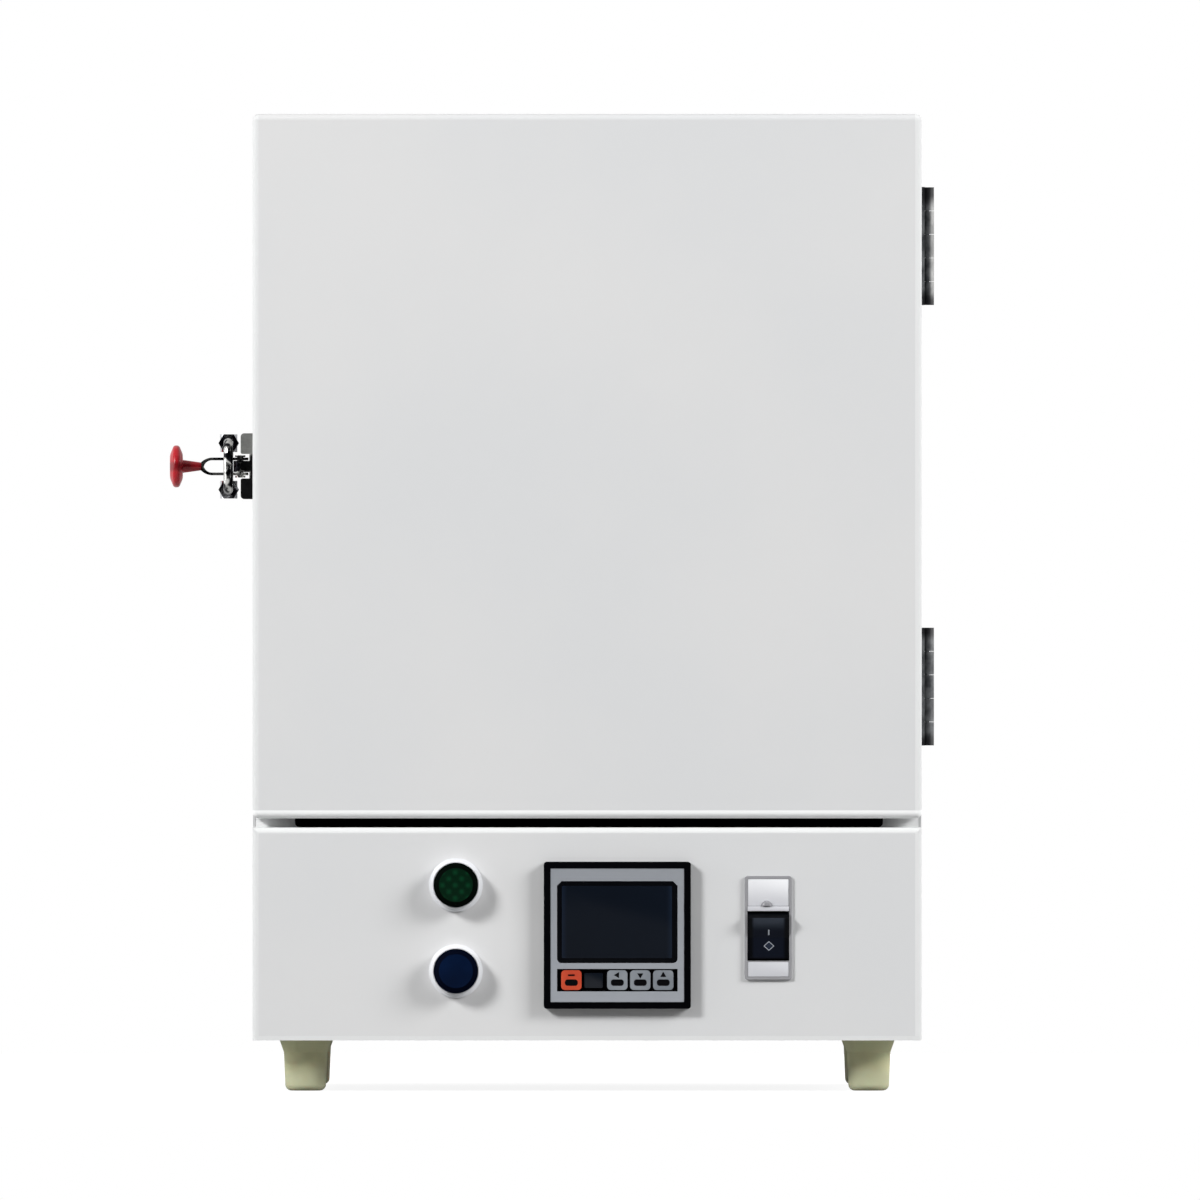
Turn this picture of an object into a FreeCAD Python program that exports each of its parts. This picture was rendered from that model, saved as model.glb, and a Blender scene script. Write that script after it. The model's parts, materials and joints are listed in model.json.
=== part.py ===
import FreeCAD, Part
import math
import os

import Sketcher
from FreeCAD import Placement, Rotation, Vector

# Muffle furnace: a laboratory box furnace with a side-hung door over a control panel.
# X runs along the front, + to the right seen from the front. Y runs from front to back.
# Z is up, from the floor. All lengths are millimetres.

os.makedirs("parts", exist_ok=True)
doc = FreeCAD.newDocument("muffle_furnace")
sheet = doc.addObject("Spreadsheet::Sheet", "Sizes")

# Driving dimensions, each with the word that names it everywhere else
SIZES = {
    # Cabinet
    "cabinet_width": 437,
    "cabinet_height": 605,
    "cabinet_depth": 480,
    "sheet_wall": 1.5,
    "sheet_fit": 0.2,
    "edge_radius": 4,
    "flange_height": 15,
    # Feet
    "foot_height": 33,
    "foot_top_radius": 17,
    "foot_waist_radius": 14.2,
    "foot_waist_height": 25,
    "foot_bottom_radius": 13.3,
    "foot_edge_radius": 4,
    "foot_recess_radius": 5,
    "foot_recess_depth": 12,
    "foot_inset": 34.5,
    # Door and the slots around it
    "panel_height": 139,
    "door_thickness": 50,
    "door_gap": 3,
    "panel_gap": 6,
    "door_lining_margin": 12,
    "plug_reach": 25,
    "plug_clearance": 3,
    "plug_edge_radius": 3,
    "gasket_width": 12,
    "gasket_margin": 6,
    # Heated chamber and what insulates it
    "chamber_width": 200,
    "chamber_height": 200,
    "chamber_depth": 300,
    "mouth_depth": 30,
    "mouth_flare": 8,
    "heater_plate": 20,
    "side_board": 60,
    "hearth_plate": 12,
    "rail_height": 22.8,
    "roof_air": 37.3,
    "rear_board": 70,
    "inner_sheet": 1.2,
    "rail_width": 40,
    # Heating elements: a bent wire that lies in grooves
    "wire_radius": 3,
    "wire_runs": 6,
    "wire_pitch": 34,
    "groove_width": 9,
    "groove_depth": 10,
    "bend_margin": 8,
    "lead_reach": 15,
    "bore_clearance": 0.3,
    # Thermocouple and flue in the rear wall
    "probe_radius": 4,
    "probe_reach": 40,
    "probe_drop": 25,
    "probe_head_radius": 11,
    "probe_head_length": 22,
    "flue_radius": 12.5,
    "flue_shoulder": 1.5,
    "flue_bore": 8.5,
    "flue_offset": 50,
    "flue_drop": 30,
    "rear_reach": 20,
    # Pushbuttons
    "button_x": -85.7,
    "green_button_z": 134.5,
    "blue_button_z": 78.3,
    "button_flange_radius": 17.5,
    "button_flange": 2.5,
    "button_flange_edge": 1.5,
    "button_cup_floor": 2,
    "button_collar_radius": 15.6,
    "button_collar_reach": 9,
    "button_collar_edge": 0.5,
    "button_cap_radius": 14.3,
    "button_face_radius": 11,
    "button_bevel": 2,
    "button_reach": 14,
    "button_travel": 4,
    "button_barrel_radius": 11,
    "button_barrel_length": 13,
    "button_plunger_radius": 6.7,
    "contact_block_width": 30,
    "contact_block_depth": 26,
    "moving_clearance": 0.3,
    # Temperature controller
    "controller_x": 19.7,
    "controller_z": 101.7,
    "controller_width": 96,
    "controller_case_width": 91,
    "controller_case_depth": 60,
    "controller_reach": 7,
    "controller_rim": 4.4,
    "controller_corner": 2,
    "face_thickness": 1.2,
    "screen_width": 78.7,
    "screen_height": 53.5,
    "screen_rise": 8.6,
    "screen_corner": 3,
    "key_strip_height": 14.7,
    "key_strip_drop": 29.3,
    "key_strip_depth": 1.9,
    "key_rise": 0.4,
    "key_width": 13.3,
    "key_height": 12.9,
    "key_pitch": 15,
    "key_thickness": 2.6,
    "key_travel": 0.6,
    "key_corner": 2.5,
    # Power switch and its lamp
    "switch_x": 118.3,
    "switch_plate_z": 106.5,
    "switch_plate_width": 30.8,
    "switch_plate_height": 68,
    "switch_plate_thickness": 2,
    "switch_corner": 2,
    "switch_rim": 2,
    "switch_edge": 0.5,
    "label_recess": 0.5,
    "label_margin": 0.6,
    "rocker_z": 101.2,
    "rocker_width": 26.7,
    "rocker_radius": 15.9,
    "rocker_corner": 2.5,
    "rocker_facet_angle": 12,
    "rocker_tilt": 10,
    "rocker_pivot_depth": 4,
    "rocker_centre_reach": 6,
    "rocker_back": 5,
    "switch_body_wall": 1.2,
    "switch_body_depth": 26,
    "switch_cavity": 17,
    "lamp_x": 117.2,
    "lamp_z": 120.8,
    "lamp_radius": 3.6,
    "lamp_stem_radius": 1.5,
    "lamp_stem_rise": 1.8,
    "lamp_rise": 2.6,
    "lamp_length": 12,
    # Hinges on the right side
    "hinge_length": 77,
    "hinge_spacing": 288,
    "hinge_barrel_radius": 4,
    "hinge_pin_radius": 2,
    "hinge_pin_clearance": 0.05,
    "hinge_stand_off": 0.3,
    "hinge_leaf": 2,
    "hinge_leaf_width": 24,
    "hinge_knuckle_gap": 0.3,
    "screw_radius": 2,
    "screw_head_radius": 3.8,
    "screw_rim_radius": 3.04,
    "screw_edge_margin": 1,
    "screw_head": 1.5,
    "screw_length": 8,
    "screw_clearance": 0.1,
    "hinge_screw_spread": 25,
    # Draw latch on the left side
    "latch_pivot_y": 16,
    "latch_pivot_height": 8.5,
    "latch_plate": 2.4,
    "latch_plate_width": 16,
    "latch_plate_front": 2,
    "latch_plate_back": 36,
    "latch_lug_radius": 4.4,
    "latch_lug_width": 7.4,
    "latch_pin_radius": 2.2,
    "latch_pin_head": 1.2,
    "fork_arm": 1.8,
    "fork_pivot_radius": 5.4,
    "fork_link_radius": 4.8,
    "fork_length": 25.5,
    "fork_shoulder": 18,
    "fork_bow": 18.5,
    "fork_throat": 23.8,
    "fork_neck_width": 7,
    "fork_neck_height": 5.6,
    "link_arm": 8,
    "link_phase": 20,
    "latch_swing": 75,
    "trunnion_radius": 3,
    "trunnion_end_radius": 5.7,
    "trunnion_end_length": 11.6,
    "hook_rod_radius": 3,
    "hook_bend": 7.5,
    "hook_half_width": 15.2,
    "hook_length": 58,
    "hook_tail": 12,
    "nut_width": 11.6,
    "nut_thickness": 4.6,
    "knob_radius": 13.75,
    "knob_thickness": 8.5,
    "knob_shank_length": 12,
    "knob_shank_radius": 4.3,
    "knob_neck_radius": 2.6,
    "knob_back_radius": 8,
    "knob_face_radius": 7.5,
    "knob_bevel": 2.5,
    "knob_rim_round": 2.2,
    "knob_face_round": 8,
    "stud_radius": 1.7,
    "stud_root": 1,
    "keeper_ear_height": 7.8,
    "keeper_ear_inner": 8,
    "keeper_ear_outer": 21.5,
    "keeper_ear_depth": 8,
    "keeper_ear_offset": 4.6,
    "keeper_ear_corner": 2.4,
    "keeper_plate": 1.2,
    "keeper_post_width": 5.4,
    "keeper_post_height": 8.6,
    "keeper_post_depth": 9,
    "keeper_post_round": 2.5,
    # Rear panel and the electrics behind the control panel
    "gland_inset": 68.5,
    "gland_z": 75,
    "gland_hex_width": 24,
    "gland_hex_thickness": 6,
    "gland_dome_radius": 10,
    "gland_tip_radius": 7,
    "gland_bore_radius": 4,
    "gland_thread_radius": 7.8,
    "slot_length": 70,
    "slot_height": 4,
    "slot_pitch": 12,
    "slot_rows": 6,
    "relay_width": 45,
    "relay_depth": 58,
    "relay_height": 28,
    "relay_x": -120,
    "relay_y": 200,
    "terminal_width": 80,
    "terminal_depth": 22,
    "terminal_height": 24,
    "terminal_x": 110,
    "terminal_y": 380,
    "terminal_ways": 6,
}

for row, (word, number) in enumerate(SIZES.items(), start=1):
    sheet.set(f"A{row}", word)
    sheet.set(f"B{row}", str(number))
    sheet.setAlias(f"B{row}", word)
doc.recompute()


class Dim:
    """A length that carries its formula on the sheet beside its number."""

    def __init__(self, formula, number):
        self.formula = formula
        self.number = number

    def join(self, sign, other, number):
        return Dim(f"({self.formula} {sign} {other.formula})", number)

    def __add__(self, other):
        other = dim(other)
        return self.join("+", other, self.number + other.number)

    def __sub__(self, other):
        other = dim(other)
        return self.join("-", other, self.number - other.number)

    def __mul__(self, other):
        other = dim(other)
        return self.join("*", other, self.number * other.number)

    def __truediv__(self, other):
        other = dim(other)
        return self.join("/", other, self.number / other.number)

    def __radd__(self, other):
        return dim(other) + self

    def __rsub__(self, other):
        return dim(other) - self

    def __rmul__(self, other):
        return dim(other) * self

    def __neg__(self):
        return dim(0) - self

    def __float__(self):
        return float(self.number)


def dim(value):
    """A number as a Dim, or a Dim as it is."""
    return value if isinstance(value, Dim) else Dim(repr(float(value)), float(value))


def cosine(angle):
    return Dim(f"cos({angle.formula} * 1deg)", math.cos(math.radians(float(angle))))


def sine(angle):
    return Dim(f"sin({angle.formula} * 1deg)", math.sin(math.radians(float(angle))))


def size(word):
    return Dim(f"Sizes.{word}", float(sheet.get(word)))


def bind(thing, **properties):
    """Bind properties to sheet formulas; Placement_Base_x stands for Placement.Base.x."""
    for name, value in properties.items():
        thing.setExpression(name.replace("_", "."), dim(value).formula)


# Places that many pieces share
wall = size("sheet_wall")
fit = size("sheet_fit")
running = size("moving_clearance")
half_width = size("cabinet_width") / 2
floor_z = size("foot_height")
top_z = floor_z + size("cabinet_height")
panel_z = floor_z + size("panel_height")
door_z = panel_z + size("panel_gap")
front_y = -(size("door_thickness") + size("door_gap"))
rear_y = size("cabinet_depth")
inner_half = half_width - wall - fit
inner_bend = size("edge_radius") - wall
middle_z = (door_z + top_z) / 2

chamber_half = size("chamber_width") / 2
chamber_z = middle_z - size("chamber_height") / 2
chamber_top = middle_z + size("chamber_height") / 2
chamber_front = wall + size("mouth_depth")
chamber_back = chamber_front + size("chamber_depth")
plate_half = chamber_half + size("heater_plate")
board_half = plate_half + size("side_board")
hearth_z = chamber_z - size("hearth_plate")
board_z = panel_z + size("rail_height") + size("inner_sheet")
board_top = top_z - wall - size("roof_air") - size("inner_sheet")
board_back = chamber_back + size("rear_board")
mouth_half = chamber_half + size("mouth_flare")
mouth_half_height = size("chamber_height") / 2 + size("mouth_flare")

hinge_x = half_width + size("hinge_stand_off") + size("hinge_barrel_radius")
hinge_y = -size("door_gap") / 2
hinge_reach = size("hinge_stand_off") + 2 * size("hinge_barrel_radius")

# The origin lies on the floor, at the middle of the box around the whole furnace.
handle_length = size("fork_length") + size("knob_shank_length") + size("knob_thickness")
latch_reach = size("latch_pivot_height") + handle_length
shift_x = (latch_reach - hinge_reach) / 2
shift_y = -(front_y - size("button_reach") + rear_y + size("rear_reach")) / 2

nodes = []
starts = {}


def place(thing, x, y, z):
    """Put a piece at a place on the sheet and remember the place."""
    starts[thing.Name] = (dim(x), dim(y), dim(z))
    bind(thing, Placement_Base_x=x, Placement_Base_y=y, Placement_Base_z=z)


def node(label, thing):
    """Name a finished sub-part and move it from the cabinet's middle to the shared origin."""
    x, y, z = starts.get(thing.Name, (dim(0), dim(0), dim(0)))
    thing.Label = label
    bind(thing, Placement_Base_x=x + shift_x, Placement_Base_y=y + shift_y, Placement_Base_z=z)
    nodes.append(thing)
    return thing


# Primitives and booleans
TURNS = {
    "x": Rotation(Vector(0, 1, 0), 90),
    "y": Rotation(Vector(1, 0, 0), -90),
    "z": Rotation(),
}


def block(x, y, z):
    """A box between two places along each axis."""
    box = doc.addObject("Part::Box", "Block")
    (x0, x1), (y0, y1), (z0, z1) = x, y, z
    bind(box, Length=dim(x1) - x0, Width=dim(y1) - y0, Height=dim(z1) - z0)
    place(box, x0, y0, z0)
    return box


def rod(axis, start, length, radius):
    """A cylinder that runs from a point along +X, +Y or +Z."""
    cylinder = doc.addObject("Part::Cylinder", "Rod")
    cylinder.Placement = Placement(Vector(), TURNS[axis])
    bind(cylinder, Radius=radius, Height=length)
    place(cylinder, *start)
    return cylinder


def cone(axis, start, length, radius, end_radius):
    """A cone frustum that runs from a point along +X, +Y or +Z."""
    frustum = doc.addObject("Part::Cone", "Cone")
    frustum.Placement = Placement(Vector(), TURNS[axis])
    bind(frustum, Radius1=radius, Radius2=end_radius, Height=length)
    place(frustum, *start)
    return frustum


def group(*things):
    """Separate solids that share one node."""
    compound = doc.addObject("Part::Compound", "Group")
    compound.Links = list(things)
    return compound


def fuse(*things):
    joined = doc.addObject("Part::MultiFuse", "Fuse")
    joined.Shapes = list(things)
    joined.Refine = True
    return joined


def cut(base, *tools):
    rest = doc.addObject("Part::Cut", "Cut")
    rest.Base = base
    rest.Tool = tools[0] if len(tools) == 1 else group(*tools)
    rest.Refine = True
    return rest


def common(first, second):
    shared = doc.addObject("Part::Common", "Common")
    shared.Base = first
    shared.Tool = second
    return shared


# Bodies, sketches and their features
def new_body(name):
    return doc.addObject("PartDesign::Body", name)


def sketch_on(body, plane, at=0):
    """A sketch across X (YZ_Plane), Y (XZ_Plane) or Z (XY_Plane) at a place along that axis."""
    sketch = body.newObject("Sketcher::SketchObject", "Outline")
    sketch.AttachmentSupport = [(f, "") for f in body.Origin.OriginFeatures if f.Role == plane]
    sketch.MapMode = "FlatFace"
    offset = -dim(at) if plane == "XZ_Plane" else dim(at)
    bind(sketch, AttachmentOffset_Base_z=offset)
    return sketch


def pin_point(sketch, edge, end, x, y):
    """Hold one end of an edge at a distance from the sketch's origin, both ways."""
    for kind, value in (("DistanceX", dim(x)), ("DistanceY", dim(y))):
        rule = Sketcher.Constraint(kind, -1, 1, edge, end, float(value))
        number = sketch.addConstraint(rule)
        sketch.setExpression(f"Constraints[{number}]", value.formula)


def add_arc(sketch, start, end, centre_x):
    """The shorter arc between two points about a centre at centre_x; says which end it starts from."""
    rise = 2 * (end.y - start.y)
    spread = (end.x - centre_x) ** 2 - (start.x - centre_x) ** 2
    centre = Vector(centre_x, (end.y**2 - start.y**2 + spread) / rise, 0)
    circle = Part.Circle(centre, Vector(0, 0, 1), (start - centre).Length)
    angles = [math.atan2(p.y - centre.y, p.x - centre.x) for p in (start, end)]
    ahead = (angles[1] - angles[0]) % (2 * math.pi) < math.pi
    first, last = angles if ahead else reversed(angles)
    sketch.addGeometry(Part.ArcOfCircle(circle, first, last), False)
    return (1, 2) if ahead else (2, 1)


def draw_polygon(sketch, points, arcs=None):
    """A closed outline with every corner held by formulas.

    Its edges are straight, apart from those in arcs, which gives an arc's first corner the x of
    its centre.
    """
    arcs = arcs or {}
    first = sketch.GeometryCount
    count = len(points)
    corners = [Vector(float(x), float(y), 0) for x, y in points]
    ends = []
    for i in range(count):
        start, end = corners[i], corners[(i + 1) % count]
        if i in arcs:
            ends.append(add_arc(sketch, start, end, float(arcs[i])))
        else:
            sketch.addGeometry(Part.LineSegment(start, end), False)
            ends.append((1, 2))
    for i in range(count):
        after = (i + 1) % count
        rule = Sketcher.Constraint("Coincident", first + i, ends[i][1], first + after, ends[after][0])
        sketch.addConstraint(rule)
    for i, (x, y) in enumerate(points):
        pin_point(sketch, first + i, ends[i][0], x, y)
    for i, centre_x in arcs.items():
        rule = Sketcher.Constraint("DistanceX", -1, 1, first + i, 3, float(centre_x))
        number = sketch.addConstraint(rule)
        sketch.setExpression(f"Constraints[{number}]", dim(centre_x).formula)


def draw_rectangle(sketch, x0, x1, y0, y1):
    draw_polygon(sketch, [(x0, y0), (x1, y0), (x1, y1), (x0, y1)])


def draw_circle(sketch, x, y, radius):
    radius = dim(radius)
    circle = Part.Circle(Vector(float(x), float(y), 0), Vector(0, 0, 1), float(radius))
    edge = sketch.addGeometry(circle, False)
    pin_point(sketch, edge, 3, x, y)
    number = sketch.addConstraint(Sketcher.Constraint("Radius", edge, float(radius)))
    sketch.setExpression(f"Constraints[{number}]", radius.formula)


def extrude(kind, body, sketch, length, plus):
    """Pad or pocket a sketch along the plus or minus side of its world axis."""
    feature = body.newObject(f"PartDesign::{kind}", kind)
    feature.Profile = sketch
    bind(feature, Length=length)
    across_y = "XZ_Plane" == sketch.AttachmentSupport[0][0].Role
    feature.Reversed = (plus == across_y) if kind == "Pad" else (plus != across_y)
    doc.recompute()
    return feature


def pad(body, sketch, length, plus=True):
    return extrude("Pad", body, sketch, length, plus)


def pocket(body, sketch, length, plus=True):
    """A pocket has to take material away, so its volume is compared."""
    before = body.Shape.Volume
    feature = extrude("Pocket", body, sketch, length, plus)
    if feature.Shape.Volume >= before:
        raise RuntimeError(f"{body.Name}: pocket {feature.Name} cut nothing")
    return feature


def revolve(body, sketch, axis="V_Axis"):
    feature = body.newObject("PartDesign::Revolution", "Revolution")
    feature.Profile = sketch
    feature.ReferenceAxis = (sketch, [axis])
    feature.Angle = 360
    doc.recompute()
    return feature


def round_edges(body, radius, wanted, kind="Fillet"):
    """Fillet or chamfer the edges whose middle and direction pass a test."""
    names = []
    base = body.Tip
    for i, edge in enumerate(base.Shape.Edges, start=1):
        middle = edge.valueAt((edge.FirstParameter + edge.LastParameter) / 2)
        along = edge.Vertexes[-1].Point - edge.Vertexes[0].Point
        if wanted(middle, along):
            names.append(f"Edge{i}")
    if not names:
        raise RuntimeError(f"{body.Name}: no edge to round")
    feature = body.newObject(f"PartDesign::{kind}", kind)
    feature.Base = (base, names)
    bind(feature, **{"Radius" if kind == "Fillet" else "Size": radius})
    doc.recompute()
    return feature


def near(value, place_there):
    return abs(value - float(place_there)) < 0.01


def is_along(direction, axis):
    return abs(abs(direction.dot(axis)) - direction.Length) < 1e-6 and direction.Length > 0


AXIS_Y = Vector(0, 1, 0)
AXIS_Z = Vector(0, 0, 1)


def turned(name, profile, axis="V_Axis", plane="XZ_Plane", arcs=None):
    """A body made by turning a closed profile about the sketch's own axis."""
    body = new_body(name)
    sketch = sketch_on(body, plane)
    draw_polygon(sketch, profile, arcs)
    revolve(body, sketch, axis)
    return body


# Screws, drawn once and set out by rows of places
def screw_shape(countersunk):
    """A screw along +Z with its head's top at zero: a flush cone head or a low pan head."""
    head_radius = float(size("screw_head_radius"))
    head = float(size("screw_head"))
    radius = float(size("screw_radius"))
    length = float(size("screw_length"))
    rim = float(size("screw_rim_radius"))
    if countersunk:
        outline = [(0, 0), (head_radius, 0), (radius, -head), (radius, -length), (0, -length)]
    else:
        outline = [(0, head), (rim, head), (head_radius, head / 2), (head_radius, 0)]
        outline += [(radius, 0), (radius, -length), (0, -length)]
    points = [Vector(x, 0, z) for x, z in outline]
    profile = Part.Face(Part.makePolygon(points + points[:1]))
    return profile.revolve(Vector(), Vector(0, 0, 1), 360)


def screws(places):
    """One group of separate screws; a place is its point, outward direction and head kind."""
    solids = []
    for point, outward, countersunk in places:
        solid = screw_shape(countersunk)
        turn = Rotation(Vector(0, 0, 1), outward)
        solid.Placement = Placement(Vector(*[float(v) for v in point]), turn)
        solids.append(solid)
    feature = doc.addObject("Part::Feature", "Screws")
    feature.Shape = Part.makeCompound(solids)
    return feature


# Rubber feet, wider at the top, with a recess for the screw
def foot(x, y):
    bottom = size("foot_bottom_radius")
    edge = size("foot_edge_radius")
    recess = size("foot_recess_radius")
    depth = size("foot_recess_depth")
    profile = [
        (recess, 0),
        (bottom - edge, 0),
        (bottom, edge),
        (size("foot_waist_radius"), size("foot_waist_height")),
        (size("foot_top_radius"), floor_z),
        (0, floor_z),
        (0, depth),
        (recess, depth),
    ]
    body = turned("Foot", profile, arcs={1: bottom - edge})
    place(body, x, y, 0)
    return body


foot_x = half_width - size("foot_inset")
foot_front_y = front_y + size("foot_inset")
foot_rear_y = rear_y - size("foot_inset")
feet = [foot(x, y) for x in (-foot_x, foot_x) for y in (foot_front_y, foot_rear_y)]
node("feet", group(*feet))


# Base pan: a tray with upturned flanges
def base_pan():
    body = new_body("BasePan")
    pan_front = front_y + wall + fit
    pan_rear = rear_y - wall
    top = floor_z + size("flange_height")
    sketch = sketch_on(body, "XY_Plane", floor_z)
    draw_rectangle(sketch, -inner_half, inner_half, pan_front, pan_rear)
    pad(body, sketch, size("flange_height"))
    sketch = sketch_on(body, "XY_Plane", top)
    inside = inner_half - wall
    draw_rectangle(sketch, -inside, inside, pan_front + wall, pan_rear - wall)
    pocket(body, sketch, size("flange_height") - wall, plus=False)
    round_edges(body, inner_bend, lambda p, d: is_along(d, AXIS_Z) and near(p.y, pan_front))
    return body


node("base_pan", base_pan())

# Screw places that several pieces share
hinge_zs = [middle_z - size("hinge_spacing") / 2, middle_z + size("hinge_spacing") / 2]
leaf_start = size("hinge_barrel_radius") + running
leaf_end = leaf_start + size("hinge_leaf_width")
screw_line = (leaf_start + leaf_end) / 2
hinge_rows = [z + size("hinge_screw_spread") * step for z in hinge_zs for step in (-1, 0, 1)]
frame_leaf_screws = [(hinge_y + screw_line, z) for z in hinge_rows]
door_leaf_screws = [(hinge_y - screw_line, z) for z in hinge_rows]

pivot_x = -half_width - size("latch_pivot_height")
pivot_y = size("latch_pivot_y")
plate_front = size("latch_plate_front")
plate_back = size("latch_plate_back")
latch_inset = size("screw_head_radius") + size("screw_edge_margin")
latch_screws = [(plate_front + latch_inset, middle_z), (plate_back - latch_inset, middle_z)]

link_arm = size("link_arm")
link_x = pivot_x - link_arm * cosine(size("link_phase"))
link_y = pivot_y + link_arm * sine(size("link_phase"))
closed_phase = size("link_phase") + size("latch_swing")
closed_bar_y = pivot_y + link_arm * sine(closed_phase) - size("hook_length")
post_front = closed_bar_y + size("hook_rod_radius") + running
post_back = post_front + size("keeper_post_depth")
ear_back = closed_bar_y - size("keeper_ear_offset")
ear_front = ear_back - size("keeper_ear_depth")
keeper_back = post_back + 2 * latch_inset
keeper_screw_y = post_back + latch_inset
keeper_screw_z = (size("keeper_ear_inner") + size("keeper_ear_outer")) / 2
keeper_screws = [(keeper_screw_y, middle_z - keeper_screw_z), (keeper_screw_y, middle_z + keeper_screw_z)]

screw_hole = size("screw_radius") + size("screw_clearance")
rear_screw_x = inner_half - 2 * size("screw_head_radius")
rear_low = floor_z + size("flange_height") + 4 * size("screw_head_radius")
rear_high = top_z - 8 * wall
rear_rows = [rear_low + (rear_high - rear_low) * step / 3 for step in range(4)]
rear_screws = [(x, z) for x in (-rear_screw_x, rear_screw_x) for z in rear_rows]


def drill(body, plane, at, places, depth, plus, radius=screw_hole):
    """Round holes of one radius through a wall."""
    sketch = sketch_on(body, plane, at)
    for x, y in places:
        draw_circle(sketch, x, y, radius)
    return pocket(body, sketch, depth, plus)


# Outer case: one folded sheet over both sides and the top, with flanges at the back
def outer_case():
    body = new_body("OuterCase")
    inner = half_width - wall
    under = top_z - wall
    sketch = sketch_on(body, "XZ_Plane")
    outline = [
        (-half_width, floor_z),
        (-half_width, top_z),
        (half_width, top_z),
        (half_width, floor_z),
        (inner, floor_z),
        (inner, under),
        (-inner, under),
        (-inner, floor_z),
    ]
    draw_polygon(sketch, outline)
    pad(body, sketch, rear_y)
    bend = size("edge_radius")
    round_edges(body, bend, lambda p, d: is_along(d, AXIS_Y) and near(p.z, top_z))
    round_edges(body, bend - wall, lambda p, d: is_along(d, AXIS_Y) and near(p.z, under))
    sketch = sketch_on(body, "XZ_Plane", rear_y - 2 * wall)
    low = floor_z + size("flange_height") + fit
    high = top_z - size("edge_radius")
    lip = inner - size("flange_height")
    draw_rectangle(sketch, -inner, -lip, low, high)
    draw_rectangle(sketch, lip, inner, low, high)
    pad(body, sketch, wall - fit)
    drill(body, "XZ_Plane", rear_y - 2 * wall, rear_screws, wall, plus=True)
    drill(body, "YZ_Plane", half_width, frame_leaf_screws, 2 * wall, plus=False)
    drill(body, "YZ_Plane", -half_width, latch_screws, 2 * wall, plus=True)
    return body


node("outer_case", outer_case())

flue_x = size("flue_offset")
flue_z = chamber_top - size("flue_drop")
probe_z = chamber_top - size("probe_drop")
flue_neck = size("flue_radius") - size("flue_shoulder")
gland_x = half_width - size("gland_inset")
gland_z = size("gland_z")


# Back panel with its vent slots and the holes for the flue and the cable gland
def back_panel():
    body = new_body("BackPanel")
    inside = rear_y - wall
    sketch = sketch_on(body, "XZ_Plane", inside)
    draw_rectangle(sketch, -inner_half, inner_half, floor_z, top_z - wall - fit)
    pad(body, sketch, wall)
    round_edges(body, inner_bend, lambda p, d: is_along(d, AXIS_Y) and p.z > float(middle_z))
    slots = sketch_on(body, "XZ_Plane", inside)
    slot_z = floor_z + 2 * size("flange_height")
    for left in (-2 * size("slot_length"), -size("slot_length") / 2):
        right = left + size("slot_length")
        draw_rectangle(slots, left, right, slot_z, slot_z + size("slot_height"))
    row = pocket(body, slots, wall)
    rows = body.newObject("PartDesign::LinearPattern", "SlotRows")
    rows.Originals = [row]
    rows.Direction = (slots, ["V_Axis"])
    bind(rows, Length=size("slot_pitch") * (size("slot_rows") - 1), Occurrences=size("slot_rows"))
    body.Tip = rows
    doc.recompute()
    drill(body, "XZ_Plane", inside, rear_screws, wall, plus=True)
    flue_hole = flue_neck + size("bore_clearance")
    drill(body, "XZ_Plane", inside, [(flue_x, flue_z)], wall, True, flue_hole)
    gland_hole = size("gland_thread_radius") + fit
    drill(body, "XZ_Plane", inside, [(gland_x, gland_z)], wall, True, gland_hole)
    return body


node("back_panel", back_panel())


# Front frame: the steel plate round the mouth of the chamber
def front_frame():
    body = new_body("FrontFrame")
    sketch = sketch_on(body, "XZ_Plane")
    draw_rectangle(sketch, -inner_half, inner_half, panel_z, top_z - wall - fit)
    low = middle_z - mouth_half_height
    high = middle_z + mouth_half_height
    draw_rectangle(sketch, -mouth_half, mouth_half, low, high)
    pad(body, sketch, wall)
    top = top_z - wall - fit
    round_edges(body, inner_bend, lambda p, d: is_along(d, AXIS_Y) and near(p.z, top))
    return body


node("front_frame", front_frame())


# Divider shelf between the hot part and the electrics
def divider_shelf():
    body = new_body("DividerShelf")
    sketch = sketch_on(body, "XZ_Plane")
    under = panel_z - wall
    flange = panel_z - size("flange_height")
    inner = inner_half - wall
    outline = [
        (-inner_half, flange),
        (-inner_half, panel_z),
        (inner_half, panel_z),
        (inner_half, flange),
        (inner, flange),
        (inner, under),
        (-inner, under),
        (-inner, flange),
    ]
    draw_polygon(sketch, outline)
    pad(body, sketch, rear_y - 2 * wall)
    return body


node("divider_shelf", divider_shelf())

button_x = size("button_x")
button_zs = {"green": size("green_button_z"), "blue": size("blue_button_z")}
controller_x = size("controller_x")
controller_z = size("controller_z")
switch_x = size("switch_x")
rocker_z = size("rocker_z")
lamp_stem_z = size("lamp_z") + size("lamp_stem_rise")
cavity_half_width = size("rocker_width") / 2 + running
cavity_half_height = size("rocker_radius") + running
body_half_width = cavity_half_width + size("switch_body_wall")
body_half_height = cavity_half_height + size("switch_body_wall")


def rounded_front(half, y_front, y_back, z_low, z_high, bend, open_below):
    """A block whose front edges are bent; its lower front edge stays sharp where it is open."""
    body = new_body("RoundedFront")
    sketch = sketch_on(body, "XZ_Plane", y_front)
    draw_rectangle(sketch, -half, half, z_low, z_high)
    pad(body, sketch, y_back - y_front)

    def is_bent(p, d):
        if open_below and near(p.z, z_low):
            return False
        return near(p.y, y_front) or (is_along(d, AXIS_Y) and not open_below)

    round_edges(body, bend, is_bent)
    return body


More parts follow.
